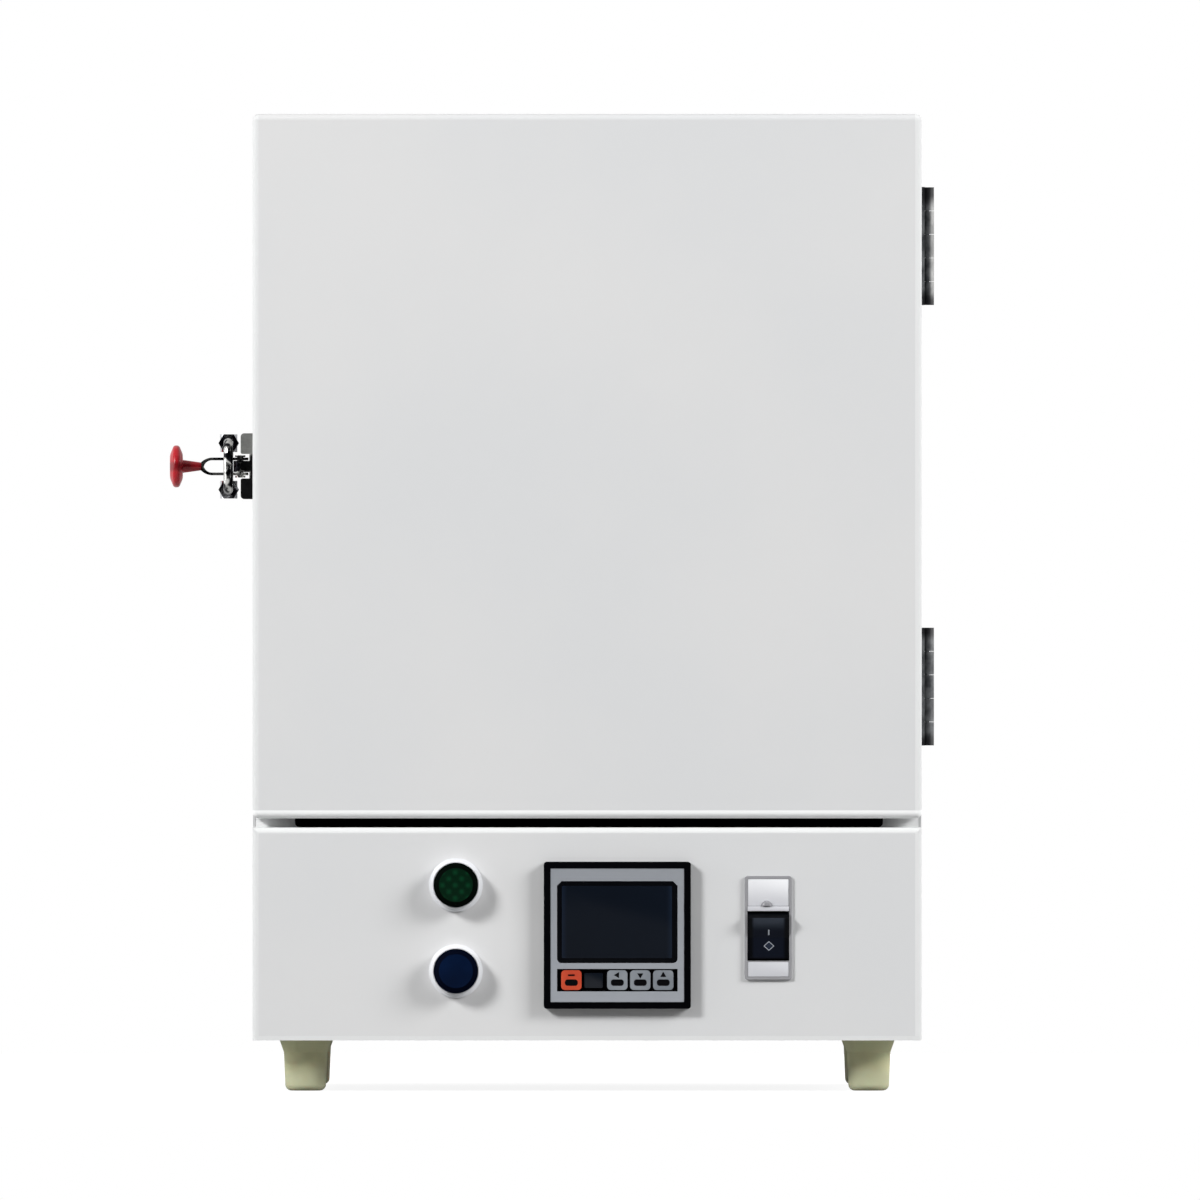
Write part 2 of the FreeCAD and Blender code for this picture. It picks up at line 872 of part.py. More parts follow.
def hollow_pan(z_low, z_high, y_back, open_below, *holes):
    """A pan of bent sheet, open behind, with an even wall and holes cut through it."""
    bend = size("edge_radius")
    outer = rounded_front(half_width, front_y, y_back, z_low, z_high, bend, open_below)
    inner_low = z_low if open_below else z_low + wall
    inner_front = front_y + wall
    inner_wide = half_width - wall
    inner = rounded_front(inner_wide, inner_front, y_back, inner_low, z_high - wall, inner_bend, open_below)
    return cut(outer, inner, *holes)


# Control panel: a folded pan, open behind and below, with rounded front edges
def control_panel():
    deep = (front_y - wall, front_y + 2 * wall)
    length = 3 * wall
    start = front_y - wall
    holes = []
    for z in button_zs.values():
        holes.append(rod("y", (button_x, start, z), length, size("button_barrel_radius") + fit))
    half = size("controller_case_width") / 2 + fit
    around = (controller_x - half, controller_x + half)
    holes.append(block(around, deep, (controller_z - half, controller_z + half)))
    wide = body_half_width + fit
    tall = body_half_height + fit
    holes.append(block((switch_x - wide, switch_x + wide), deep, (rocker_z - tall, rocker_z + tall)))
    holes.append(rod("y", (size("lamp_x"), start, lamp_stem_z), length, size("lamp_stem_radius")))
    return hollow_pan(floor_z, panel_z, dim(0), True, *holes)


node("control_panel", control_panel())

# Insulation boards and the plates that line the chamber
lead_x = chamber_half + size("groove_depth") / 2
first_run = middle_z - size("wire_pitch") * (size("wire_runs") - 1) / 2
last_run = middle_z + size("wire_pitch") * (size("wire_runs") - 1) / 2
case_back = board_back + size("inner_sheet")


def rear_bores():
    """What passes through the rear insulation: the flue, the probe and the wire ends."""
    clear = size("bore_clearance")
    start = chamber_back - wall
    length = case_back - start + wall
    bores = [rod("y", (flue_x, start, flue_z), length, flue_neck + clear)]
    bores.append(rod("y", (0, start, probe_z), length, size("probe_radius") + clear))
    for x in (-lead_x, lead_x):
        for z in (first_run, last_run):
            bores.append(rod("y", (x, start, z), length, size("wire_radius") + clear))
    return bores


boards = {
    "insulation_left": ((-board_half, -plate_half), (board_z, board_top)),
    "insulation_right": ((plate_half, board_half), (board_z, board_top)),
    "insulation_floor": ((-plate_half, plate_half), (board_z, hearth_z)),
    "insulation_roof": ((-plate_half, plate_half), (chamber_top, board_top)),
    "hearth_plate": ((-plate_half, plate_half), (hearth_z, chamber_z)),
}
for label, (across, up) in boards.items():
    node(label, block(across, (chamber_front, chamber_back), up))

rear_block = block((-board_half, board_half), (chamber_back, board_back), (board_z, board_top))
node("insulation_rear", cut(rear_block, *rear_bores()))


# Inner case: the steel box round the insulation, on two channel rails
def inner_case():
    sheet_inner = size("inner_sheet")
    half = board_half + sheet_inner
    under = board_z - sheet_inner
    over = board_top + sheet_inner
    shell = block((-half, half), (wall, case_back), (under, over))
    hollow = block((-board_half, board_half), (wall, board_back), (board_z, board_top))
    pieces = [cut(shell, hollow, *rear_bores())]
    for x in (-board_half, board_half - size("rail_width")):
        x_end = x + size("rail_width")
        rail = block((x, x_end), (wall, case_back), (panel_z, under))
        channel = block((x + wall, x_end - wall), (wall, case_back), (panel_z + wall, under))
        pieces.append(cut(rail, channel))
    return fuse(*pieces)


node("inner_case", inner_case())


# Mouth frame: the ceramic ring whose opening narrows towards the chamber
def mouth_frame():
    body = new_body("MouthFrame")
    sketch = sketch_on(body, "XZ_Plane", wall)
    draw_rectangle(sketch, -board_half, board_half, board_z, board_top)
    pad(body, sketch, size("mouth_depth"))
    wide = sketch_on(body, "XZ_Plane", wall)
    high = mouth_half_height
    draw_rectangle(wide, -mouth_half, mouth_half, middle_z - high, middle_z + high)
    narrow = sketch_on(body, "XZ_Plane", chamber_front)
    draw_rectangle(narrow, -chamber_half, chamber_half, chamber_z, chamber_top)
    loft = body.newObject("PartDesign::SubtractiveLoft", "Mouth")
    loft.Profile = wide
    loft.Sections = [narrow]
    doc.recompute()
    return body


node("mouth_frame", mouth_frame())

# Heater plates: ceramic slabs grooved for the bent wire
bend_radius = size("wire_pitch") / 2
bend_room = size("bend_margin") + bend_radius + size("wire_radius")
run_front = chamber_front + bend_room
run_back = chamber_back - bend_room
lead_end = case_back + size("lead_reach")


def heater_plate(side):
    body = new_body("HeaterPlate")
    face = side * chamber_half
    outward = side > 0
    sketch = sketch_on(body, "YZ_Plane", face)
    draw_rectangle(sketch, chamber_front, chamber_back, chamber_z, chamber_top)
    pad(body, sketch, size("heater_plate"), plus=outward)
    groove = sketch_on(body, "YZ_Plane", face)
    half = size("groove_width") / 2
    draw_rectangle(groove, chamber_front, chamber_back, first_run - half, first_run + half)
    first = pocket(body, groove, size("groove_depth"), plus=outward)
    rows = body.newObject("PartDesign::LinearPattern", "Grooves")
    rows.Originals = [first]
    rows.Direction = (groove, ["V_Axis"])
    bind(rows, Length=last_run - first_run, Occurrences=size("wire_runs"))
    body.Tip = rows
    doc.recompute()
    ends = sketch_on(body, "YZ_Plane", face)
    near_front = chamber_front + size("bend_margin") / 2
    near_back = chamber_back - size("bend_margin") / 2
    draw_rectangle(ends, near_front, run_front, first_run, last_run)
    draw_rectangle(ends, run_back, near_back, first_run, last_run)
    pocket(body, ends, size("groove_depth"), plus=outward)
    return body


def heating_element(side):
    """A wire bent to and fro, with both ends led out through the rear wall."""
    body = new_body("HeatingElement")
    x = side * lead_x
    path = sketch_on(body, "YZ_Plane", x)
    runs = int(SIZES["wire_runs"])
    pitch = size("wire_pitch")
    heights = [first_run + pitch * i for i in range(runs)]
    for i, z in enumerate(heights):
        backward = lead_end if i in (0, runs - 1) else run_back
        start, end = (backward, run_front) if i % 2 == 0 else (run_front, backward)
        line = Part.LineSegment(Vector(float(start), float(z), 0), Vector(float(end), float(z), 0))
        edge = path.addGeometry(line, False)
        pin_point(path, edge, 1, start, z)
        pin_point(path, edge, 2, end, z)
    for i in range(runs - 1):
        at_front = i % 2 == 0
        y = run_front if at_front else run_back
        centre = Vector(float(y), float(heights[i]) + float(bend_radius), 0)
        circle = Part.Circle(centre, Vector(0, 0, 1), float(bend_radius))
        first, last = (0.5, 1.5) if at_front else (-0.5, 0.5)
        arc = path.addGeometry(Part.ArcOfCircle(circle, first * math.pi, last * math.pi), False)
        lower, upper = (2, 1) if at_front else (1, 2)
        path.addConstraint(Sketcher.Constraint("Coincident", arc, lower, i, 2))
        path.addConstraint(Sketcher.Constraint("Coincident", arc, upper, i + 1, 1))
        rule = Sketcher.Constraint("DistanceX", -1, 1, arc, 3, float(y))
        number = path.addConstraint(rule)
        path.setExpression(f"Constraints[{number}]", y.formula)
    section = sketch_on(body, "XZ_Plane", lead_end)
    draw_circle(section, x, first_run, size("wire_radius"))
    doc.recompute()
    pipe = body.newObject("PartDesign::AdditivePipe", "Wire")
    pipe.Profile = section
    pipe.Spine = (path, [f"Edge{i + 1}" for i in range(path.GeometryCount)])
    doc.recompute()
    return body


for label, side in (("left", -1), ("right", 1)):
    node(f"heater_plate_{label}", heater_plate(side))
    node(f"heating_element_{label}", heating_element(side))


# Thermocouple and flue, both through the rear wall
def thermocouple():
    start = chamber_back - size("probe_reach")
    sheath = rod("y", (0, start, probe_z), case_back - start, size("probe_radius"))
    length = size("probe_head_length")
    head = rod("y", (0, case_back, probe_z), length, size("probe_head_radius"))
    return fuse(sheath, head)


def flue_tube():
    """The outlet stub is wider than the neck in the wall, so its shoulder rests on the back panel."""
    start = chamber_back
    neck = rod("y", (flue_x, start, flue_z), rear_y - start, flue_neck)
    stub = rod("y", (flue_x, rear_y, flue_z), size("rear_reach"), size("flue_radius"))
    through = rear_y + size("rear_reach") - start + 2 * wall
    bore = rod("y", (flue_x, start - wall, flue_z), through, size("flue_bore"))
    return cut(fuse(neck, stub), bore)


node("thermocouple", thermocouple())
node("flue_tube", flue_tube())


# Door: a pan of bent sheet, its lining, its inner plate, the tapered plug and a rope seal
def door_skin():
    back = -size("door_gap")
    length = 4 * wall
    holes = []
    for y, z in door_leaf_screws:
        holes.append(rod("x", (half_width - 2 * wall, y, z), length, screw_hole))
    for y, z in keeper_screws:
        holes.append(rod("x", (-half_width - 2 * wall, y, z), length, screw_hole))
    return hollow_pan(door_z, top_z, back, False, *holes)


node("door_skin", door_skin())

plug_half = mouth_half - size("plug_clearance")
plug_half_height = mouth_half_height - size("plug_clearance")
plate_back_y = -size("door_gap")
plate_front_y = plate_back_y - wall
door_top = top_z - wall - fit
door_low = door_z + wall + fit
inner_screw_x = inner_half - 2 * size("screw_radius") - wall
inner_rows = [door_low + 2 * size("screw_head_radius"), middle_z, door_top - 2 * size("screw_head_radius")]
inner_screws = [(x, z) for x in (-inner_screw_x, inner_screw_x) for z in inner_rows]


def door_inner_plate():
    body = new_body("DoorInnerPlate")
    sketch = sketch_on(body, "XZ_Plane", plate_front_y)
    draw_rectangle(sketch, -inner_half, inner_half, door_low, door_top)
    wide = plug_half + fit
    tall = plug_half_height + fit
    draw_rectangle(sketch, -wide, wide, middle_z - tall, middle_z + tall)
    pad(body, sketch, wall)
    edge = inner_half - fit
    round_edges(body, inner_bend, lambda p, d: is_along(d, AXIS_Y) and abs(p.x) > float(edge))
    drill(body, "XZ_Plane", plate_front_y, inner_screws, wall, plus=True)
    return body


node("door_inner_plate", door_inner_plate())

margin = size("door_lining_margin")
lining_x = (-inner_half + margin, inner_half - margin)
lining_z = (door_low + margin, door_top - margin)
node("door_insulation", block(lining_x, (front_y + wall, plate_front_y), lining_z))


def door_plug():
    """The part that fills the mouth, tapered to match it so that it can swing out."""
    body = new_body("DoorPlug")
    reach = size("plug_reach")
    taper = size("mouth_flare") * (reach - wall) / size("mouth_depth")
    wide = sketch_on(body, "XZ_Plane", wall)
    tall = plug_half_height
    draw_rectangle(wide, -plug_half, plug_half, middle_z - tall, middle_z + tall)
    pad(body, wide, wall - plate_front_y, plus=False)
    base = sketch_on(body, "XZ_Plane", wall)
    draw_rectangle(base, -plug_half, plug_half, middle_z - tall, middle_z + tall)
    tip = sketch_on(body, "XZ_Plane", reach)
    narrow = plug_half - taper
    low = tall - taper
    draw_rectangle(tip, -narrow, narrow, middle_z - low, middle_z + low)
    loft = body.newObject("PartDesign::AdditiveLoft", "Taper")
    loft.Profile = base
    loft.Sections = [tip]
    doc.recompute()
    round_edges(body, size("plug_edge_radius"), lambda p, d: near(p.y, reach))
    return body


node("door_plug", door_plug())


def door_gasket():
    body = new_body("DoorGasket")
    thickness = size("door_gap") - running
    inner = mouth_half + size("gasket_margin")
    inner_tall = mouth_half_height + size("gasket_margin")
    outer = inner + size("gasket_width")
    outer_tall = inner_tall + size("gasket_width")
    sketch = sketch_on(body, "XZ_Plane", plate_back_y)
    draw_rectangle(sketch, -outer, outer, middle_z - outer_tall, middle_z + outer_tall)
    draw_rectangle(sketch, -inner, inner, middle_z - inner_tall, middle_z + inner_tall)
    pad(body, sketch, thickness)
    round_edges(body, thickness / 2, lambda p, d: near(p.y, -float(running)))
    return body


node("door_gasket", door_gasket())


# Hinges: two loose leaves that share five knuckles and a pin
def countersink(side, face_x, y, z):
    """What a flush screw takes away, on the right side (1) or the left side (-1)."""
    clear = size("screw_clearance")
    head = size("screw_head")
    narrow = size("screw_radius") + clear
    wide = size("screw_head_radius") + clear
    length = size("screw_length")
    if side > 0:
        bore = rod("x", (face_x - length, y, z), length + head, narrow)
        return group(bore, cone("x", (face_x - head, y, z), head, narrow, wide))
    bore = rod("x", (face_x - head, y, z), length + head, narrow)
    return group(bore, cone("x", (face_x, y, z), head, wide, narrow))


def hinge_leaf(centre_z, towards, knuckles):
    """One leaf on the right side: towards is 1 for the cabinet and -1 for the door."""
    length = size("hinge_length")
    low = centre_z - length / 2
    outer_x = half_width + size("hinge_leaf")
    ends = (hinge_y + leaf_start, hinge_y + leaf_end)
    root = (hinge_y, hinge_y + leaf_start)
    if towards < 0:
        ends = (hinge_y - leaf_end, hinge_y - leaf_start)
        root = (hinge_y - leaf_start, hinge_y)
    solids = [block((half_width, outer_x), ends, (low, low + length))]
    gap = size("hinge_knuckle_gap") / 2
    for i in knuckles:
        bottom = low + length * i / 5
        top = low + length * (i + 1) / 5
        if i > 0:
            bottom = bottom + gap
        if i < 4:
            top = top - gap
        solids.append(rod("z", (hinge_x, hinge_y, bottom), top - bottom, size("hinge_barrel_radius")))
        solids.append(block((half_width + gap, outer_x), root, (bottom, top)))
    bore = size("hinge_pin_radius") + size("hinge_pin_clearance")
    holes = [rod("z", (hinge_x, hinge_y, low - wall), length + 2 * wall, bore)]
    rows = [centre_z + size("hinge_screw_spread") * step for step in (-1, 0, 1)]
    line = hinge_y + screw_line if towards > 0 else hinge_y - screw_line
    holes += [countersink(1, outer_x, line, z) for z in rows]
    return cut(fuse(*solids), *holes)


for label, centre_z in zip(("lower", "upper"), hinge_zs):
    node(f"hinge_{label}_frame_leaf", hinge_leaf(centre_z, 1, (0, 2, 4)))
    node(f"hinge_{label}_door_leaf", hinge_leaf(centre_z, -1, (1, 3)))

pins = []
for centre_z in hinge_zs:
    low = centre_z - size("hinge_length") / 2
    pins.append(rod("z", (hinge_x, hinge_y, low), size("hinge_length"), size("hinge_pin_radius")))
node("hinge_pins", group(*pins))

# Draw latch on the left side, drawn with its handle let go and standing straight out
arm_inner = size("latch_lug_width") / 2 + running
arm_outer = arm_inner + size("fork_arm")
pin_head = size("latch_pin_head")


def latch_base():
    """A screwed plate with the lug that carries the handle."""
    plate = size("latch_plate")
    half = size("latch_plate_width") / 2
    lug = size("latch_lug_width")
    lug_radius = size("latch_lug_radius")
    face = -half_width - plate
    foot_plate = block((face, -half_width), (plate_front, plate_back), (middle_z - half, middle_z + half))
    web_y = (pivot_y - lug_radius, pivot_y + lug_radius)
    web = block((pivot_x, face), web_y, (middle_z - lug / 2, middle_z + lug / 2))
    eye = rod("z", (pivot_x, pivot_y, middle_z - lug / 2), lug, lug_radius)
    holes = [rod("z", (pivot_x, pivot_y, middle_z - lug), 2 * lug, size("latch_pin_radius"))]
    holes += [countersink(-1, face, y, z) for y, z in latch_screws]
    return cut(fuse(foot_plate, web, eye), *holes)


def latch_pivot_pin():
    reach = arm_outer + running
    pin = rod("z", (pivot_x, pivot_y, middle_z - reach), 2 * reach, size("latch_pin_radius"))
    head_radius = size("latch_pin_radius") + pin_head
    low = rod("z", (pivot_x, pivot_y, middle_z - reach - pin_head), pin_head, head_radius)
    high = rod("z", (pivot_x, pivot_y, middle_z + reach), pin_head, head_radius)
    return fuse(pin, low, high)


def latch_handle():
    """A stirrup: its two arms are one bent strap in front view and an oval in plan."""
    length = size("fork_length")
    neck = size("fork_neck_width") / 2
    tip = size("fork_neck_height") / 2
    root = size("fork_pivot_radius")
    strap = new_body("Strap")
    outline = sketch_on(strap, "XZ_Plane", -link_arm * 2)
    shoulder = -size("fork_shoulder")
    bow = -size("fork_bow")
    points = [
        (root, arm_outer),
        (shoulder, arm_outer),
        (-length, tip),
        (-length, -tip),
        (shoulder, -arm_outer),
        (root, -arm_outer),
        (root, -arm_inner),
        (bow, -arm_inner),
        (-size("fork_throat"), 0),
        (bow, arm_inner),
        (root, arm_inner),
    ]
    draw_polygon(outline, points, arcs={1: shoulder, 3: shoulder, 7: bow, 8: bow})
    pad(strap, outline, link_arm * 4)
    place(strap, pivot_x, pivot_y, middle_z)

    plan = new_body("Plan")
    oval = sketch_on(plan, "XY_Plane", -arm_outer - wall)
    phase = size("link_phase")
    end = size("fork_link_radius")
    over_x = link_arm * cosine(phase)
    over_y = link_arm * sine(phase)
    turn_x = sine(phase)
    turn_y = cosine(phase)
    edge = [
        (0, -root),
        (-length, -neck),
        (-length, neck),
        (-over_x - end * turn_x, over_y + end * turn_y),
        (-over_x + end * turn_x, over_y + end * turn_y),
        (root * turn_x, root * turn_y),
    ]
    draw_polygon(oval, edge)
    pad(plan, oval, 2 * (arm_outer + wall))
    place(plan, pivot_x, pivot_y, middle_z)

    low = middle_z - arm_outer - wall
    tall = 2 * (arm_outer + wall)
    pivot_eye = rod("z", (pivot_x, pivot_y, low), tall, root)
    link_eye = rod("z", (link_x, link_y, low), tall, end)
    shape = common(strap, fuse(plan, pivot_eye, link_eye))
    clear = size("hinge_pin_clearance")
    holes = [rod("z", (pivot_x, pivot_y, low), tall, size("latch_pin_radius") + clear)]
    holes.append(rod("z", (link_x, link_y, low), tall, size("trunnion_radius") + clear))
    stud_length = size("knob_shank_length") + size("knob_thickness") / 2
    stud_x = pivot_x - length - stud_length
    stud = rod("x", (stud_x, pivot_y, middle_z), stud_length + size("stud_root"), size("stud_radius"))
    return fuse(cut(shape, *holes), stud)


def latch_knob():
    """A tapered shank and a shallow mushroom head, turned about the handle's stud."""
    length = size("fork_length")
    head = length + size("knob_shank_length")
    tip = head + size("knob_thickness")
    bore = size("stud_radius")
    radius = size("knob_radius")
    back = size("knob_back_radius")
    face = size("knob_face_radius")
    bevel = size("knob_bevel")
    bore_end = head + size("knob_thickness") / 2
    profile = [
        (-length, bore),
        (-length, size("knob_neck_radius")),
        (-head, size("knob_shank_radius")),
        (-head, back),
        (-head - bevel, radius),
        (-tip + bevel, radius),
        (-tip, face),
        (-tip, 0),
        (-bore_end, 0),
        (-bore_end, bore),
    ]
    body = turned("Knob", profile, "H_Axis")

    def is_ring(p, wanted):
        return near(math.hypot(p.y, p.z), wanted)

    def is_face_edge(p, d):
        return (is_ring(p, back) and near(p.x, -head)) or (is_ring(p, face) and near(p.x, -tip))

    round_edges(body, size("knob_rim_round"), lambda p, d: is_ring(p, radius))
    round_edges(body, size("knob_face_round"), is_face_edge)
    place(body, pivot_x, pivot_y, middle_z)
    return body


hook_half = size("hook_half_width")
hook_rod = size("hook_rod_radius")
leg_zs = (middle_z - hook_half, middle_z + hook_half)


def latch_trunnion():
    """The cross bar through the handle's eyes, with an enlarged end round each hook leg."""
    end = size("trunnion_end_length")
    bar = rod("z", (link_x, link_y, middle_z - hook_half), 2 * hook_half, size("trunnion_radius"))
    ends = [rod("z", (link_x, link_y, z - end / 2), end, size("trunnion_end_radius")) for z in leg_zs]
    reach = size("trunnion_end_radius") + wall
    holes = [rod("y", (link_x, link_y - reach, z), 2 * reach, hook_rod) for z in leg_zs]
    return cut(fuse(bar, *ends), *holes)


def latch_hook():
    """A rod bent into a U, with its bow in front of the keeper on the door."""
    body = new_body("Hook")
    path = sketch_on(body, "YZ_Plane", link_x)
    bend = size("hook_bend")
    bar_y = link_y - size("hook_length")
    tail_y = link_y + size("hook_tail")
    low, high = leg_zs
    corners = [
        (tail_y, low, bar_y + bend, low),
        (bar_y, low + bend, bar_y, high - bend),
        (bar_y + bend, high, tail_y, high),
    ]
    for y0, z0, y1, z1 in corners:
        start = Vector(float(y0), float(z0), 0)
        end = Vector(float(y1), float(z1), 0)
        edge = path.addGeometry(Part.LineSegment(start, end), False)
        pin_point(path, edge, 1, y0, z0)
        pin_point(path, edge, 2, y1, z1)
    for i, (z, first) in enumerate(((low + bend, 1.0), (high - bend, 0.5))):
        centre = Vector(float(bar_y + bend), float(z), 0)
        circle = Part.Circle(centre, Vector(0, 0, 1), float(bend))
        arc_shape = Part.ArcOfCircle(circle, first * math.pi, (first + 0.5) * math.pi)
        arc = path.addGeometry(arc_shape, False)
        path.addConstraint(Sketcher.Constraint("Coincident", arc, 2, i, 2))
        path.addConstraint(Sketcher.Constraint("Coincident", arc, 1, i + 1, 1))
        number = path.addConstraint(Sketcher.Constraint("DistanceX", -1, 1, arc, 3, centre.x))
        path.setExpression(f"Constraints[{number}]", (bar_y + bend).formula)
    section = sketch_on(body, "XZ_Plane", tail_y)
    draw_circle(section, link_x, low, hook_rod)
    doc.recompute()
    pipe = body.newObject("PartDesign::AdditivePipe", "Rod")
    pipe.Profile = section
    pipe.Spine = (path, [f"Edge{i + 1}" for i in range(path.GeometryCount)])
    doc.recompute()
    return body


def latch_nuts():
    """Hexagon nuts that clamp each hook leg on both sides of the trunnion."""
    nuts = []
    thickness = size("nut_thickness")
    offset = size("trunnion_end_radius")
    for z in leg_zs:
        for y in (link_y - offset - thickness, link_y + offset):
            prism = doc.addObject("Part::Prism", "Nut")
            prism.Polygon = 6
            prism.Placement = Placement(Vector(), TURNS["y"])
            bind(prism, Circumradius=size("nut_width") / math.sqrt(3), Height=thickness)
            place(prism, link_x, y, z)
            nuts.append(cut(prism, rod("y", (link_x, y, z), thickness, hook_rod)))
    return group(*nuts)


def latch_keeper():
    """Two guide ears on the door, with the post that the hook pulls on behind them."""
    body = new_body("Keeper")
    plate = size("keeper_plate")
    outer = size("keeper_ear_outer")
    inner = size("keeper_ear_inner")
    post = size("keeper_post_width") / 2
    sketch = sketch_on(body, "YZ_Plane", -half_width)
    draw_rectangle(sketch, ear_front, keeper_back, middle_z - outer, middle_z + outer)
    pad(body, sketch, plate, plus=False)
    sketch = sketch_on(body, "YZ_Plane", -half_width)
    draw_rectangle(sketch, ear_front, ear_back, middle_z - outer, middle_z - inner)
    draw_rectangle(sketch, ear_front, ear_back, middle_z + inner, middle_z + outer)
    pad(body, sketch, size("keeper_ear_height"), plus=False)
    sketch = sketch_on(body, "YZ_Plane", -half_width)
    draw_rectangle(sketch, post_front, post_back, middle_z - post, middle_z + post)
    pad(body, sketch, size("keeper_post_height"), plus=False)
    ear_x = -half_width - size("keeper_ear_height")
    post_x = -half_width - size("keeper_post_height")

    def is_ear_edge(p, d, height):
        return near(p.x, ear_x) and is_along(d, AXIS_Y) and near(abs(p.z - float(middle_z)), height)

    round_edges(body, size("keeper_post_round"), lambda p, d: near(p.x, post_x) and is_along(d, AXIS_Y))
    round_edges(body, size("keeper_ear_corner"), lambda p, d: is_ear_edge(p, d, outer))
    round_edges(body, plate, lambda p, d: is_ear_edge(p, d, inner))
    drill(body, "YZ_Plane", -half_width, keeper_screws, plate, plus=False)
    return body


node("latch_base", latch_base())
node("latch_pivot_pin", latch_pivot_pin())
node("latch_handle", latch_handle())
node("latch_knob", latch_knob())
node("latch_trunnion", latch_trunnion())
node("latch_hook", latch_hook())
node("latch_nuts", latch_nuts())
node("latch_keeper", latch_keeper())

# Pushbuttons: a bezel with a deep cup, a cap that slides in it and a contact block behind
cup_floor = size("button_cup_floor")
plunger_bore = size("button_plunger_radius") + running


def button_bezel(z):
    flange = size("button_flange")
    flange_radius = size("button_flange_radius")
    collar = size("button_collar_radius")
    reach = size("button_collar_reach")
    cup = size("button_cap_radius") + running
    barrel = size("button_barrel_length")
    edge = size("button_collar_edge")
    profile = [
        (0, plunger_bore),
        (barrel, plunger_bore),
        (barrel, size("button_barrel_radius")),
        (0, size("button_barrel_radius")),
        (0, flange_radius),
        (-size("button_flange_edge"), flange_radius),
        (-flange, collar),
        (-reach + edge, collar),
        (-reach, collar - edge),
        (-reach, cup),
        (-cup_floor, cup),
        (-cup_floor, plunger_bore),
    ]
    body = turned("Bezel", profile, "H_Axis", "YZ_Plane")
    place(body, button_x, front_y, z)
    return body


def button_cap(z):
    reach = size("button_reach")
    radius = size("button_cap_radius")
    head_back = cup_floor + size("button_travel") + running
    plunger_end = size("button_barrel_length") - size("button_travel") - running
    profile = [
        (-reach, 0),
        (-reach, size("button_face_radius")),
        (-reach + size("button_bevel"), radius),
        (-head_back, radius),
        (-head_back, size("button_plunger_radius")),
        (plunger_end, size("button_plunger_radius")),
        (plunger_end, 0),
    ]
    body = turned("Cap", profile, "H_Axis", "YZ_Plane")
    place(body, button_x, front_y, z)
    return body


contact_blocks = []
for colour, z in button_zs.items():
    node(f"{colour}_button_bezel", button_bezel(z))
    node(f"{colour}_button_cap", button_cap(z))
    half = size("contact_block_width") / 2
    start = front_y + size("button_barrel_length")
    depth = (start, start + size("contact_block_depth"))
    contact_blocks.append(block((button_x - half, button_x + half), depth, (z - half, z + half)))
node("button_contact_blocks", group(*contact_blocks))

# Temperature controller: moulded housing, silver face, dark screen and four keys
face_y = front_y - size("controller_reach") + fit
face_half = size("controller_width") / 2 - size("controller_rim")
screen_z = controller_z + size("screen_rise")
strip_z = controller_z - size("key_strip_drop")
strip_half = size("key_strip_height") / 2
screen_half = size("screen_width") / 2


def draw_screen(sketch, shrink):
    """The window of the screen: its upper corners are cut off and its lower ones are round."""
    wide = screen_half - shrink
    tall = size("screen_height") / 2 - shrink
    corner = size("screen_corner")
    points = []
    for sx, sz in ((1, 1), (-1, 1), (-1, -1), (1, -1)):
        flank = (controller_x + sx * wide, screen_z + sz * (tall - corner))
        crown = (controller_x + sx * (wide - corner), screen_z + sz * tall)
        points += [flank, crown] if sx * sz > 0 else [crown, flank]
    low_left, low_right = 4, 6
    centres = {low_left: controller_x - (wide - corner), low_right: controller_x + (wide - corner)}
    draw_polygon(sketch, points, centres)


def square(sketch, half):
    draw_rectangle(sketch, controller_x - half, controller_x + half, controller_z - half, controller_z + half)


def controller_housing():
    body = new_body("ControllerHousing")
    rim_y = front_y - size("controller_reach")
    half = size("controller_width") / 2
    sketch = sketch_on(body, "XZ_Plane", rim_y)
    square(sketch, half)
    pad(body, sketch, size("controller_reach"))
    round_edges(body, size("controller_corner"), lambda p, d: is_along(d, AXIS_Y))
    round_edges(body, fit, lambda p, d: near(p.y, rim_y), "Chamfer")
    sketch = sketch_on(body, "XZ_Plane", front_y)
    square(sketch, size("controller_case_width") / 2)
    pad(body, sketch, size("controller_case_depth"))
    sketch = sketch_on(body, "XZ_Plane", rim_y)
    square(sketch, face_half)
    pocket(body, sketch, size("face_thickness") + fit)
    sketch = sketch_on(body, "XZ_Plane", rim_y)
    left, right = controller_x - screen_half, controller_x + screen_half
    draw_rectangle(sketch, left, right, strip_z - strip_half, strip_z + strip_half)
    pocket(body, sketch, size("face_thickness") + fit + size("key_strip_depth"))
    return body


def controller_face():
    body = new_body("ControllerFace")
    sketch = sketch_on(body, "XZ_Plane", face_y)
    square(sketch, face_half)
    draw_screen(sketch, 0)
    left, right = controller_x - screen_half, controller_x + screen_half
    draw_rectangle(sketch, left, right, strip_z - strip_half, strip_z + strip_half)
    pad(body, sketch, size("face_thickness"))
    return body


def controller_screen():
    body = new_body("ControllerScreen")
    sketch = sketch_on(body, "XZ_Plane", face_y)
    draw_screen(sketch, fit / 2)
    pad(body, sketch, size("face_thickness"))
    return body


def controller_key(step):
    body = new_body("Key")
    centre = controller_x + size("key_pitch") * step
    half = size("key_width") / 2
    tall = size("key_height") / 2
    sketch = sketch_on(body, "XZ_Plane", face_y - size("key_rise"))
    draw_rectangle(sketch, centre - half, centre + half, strip_z - tall, strip_z + tall)
    pad(body, sketch, size("key_thickness"))
    round_edges(body, size("key_corner"), lambda p, d: is_along(d, AXIS_Y))
    front = face_y - size("key_rise")
    round_edges(body, size("key_rise") / 2, lambda p, d: near(p.y, front))
    return body


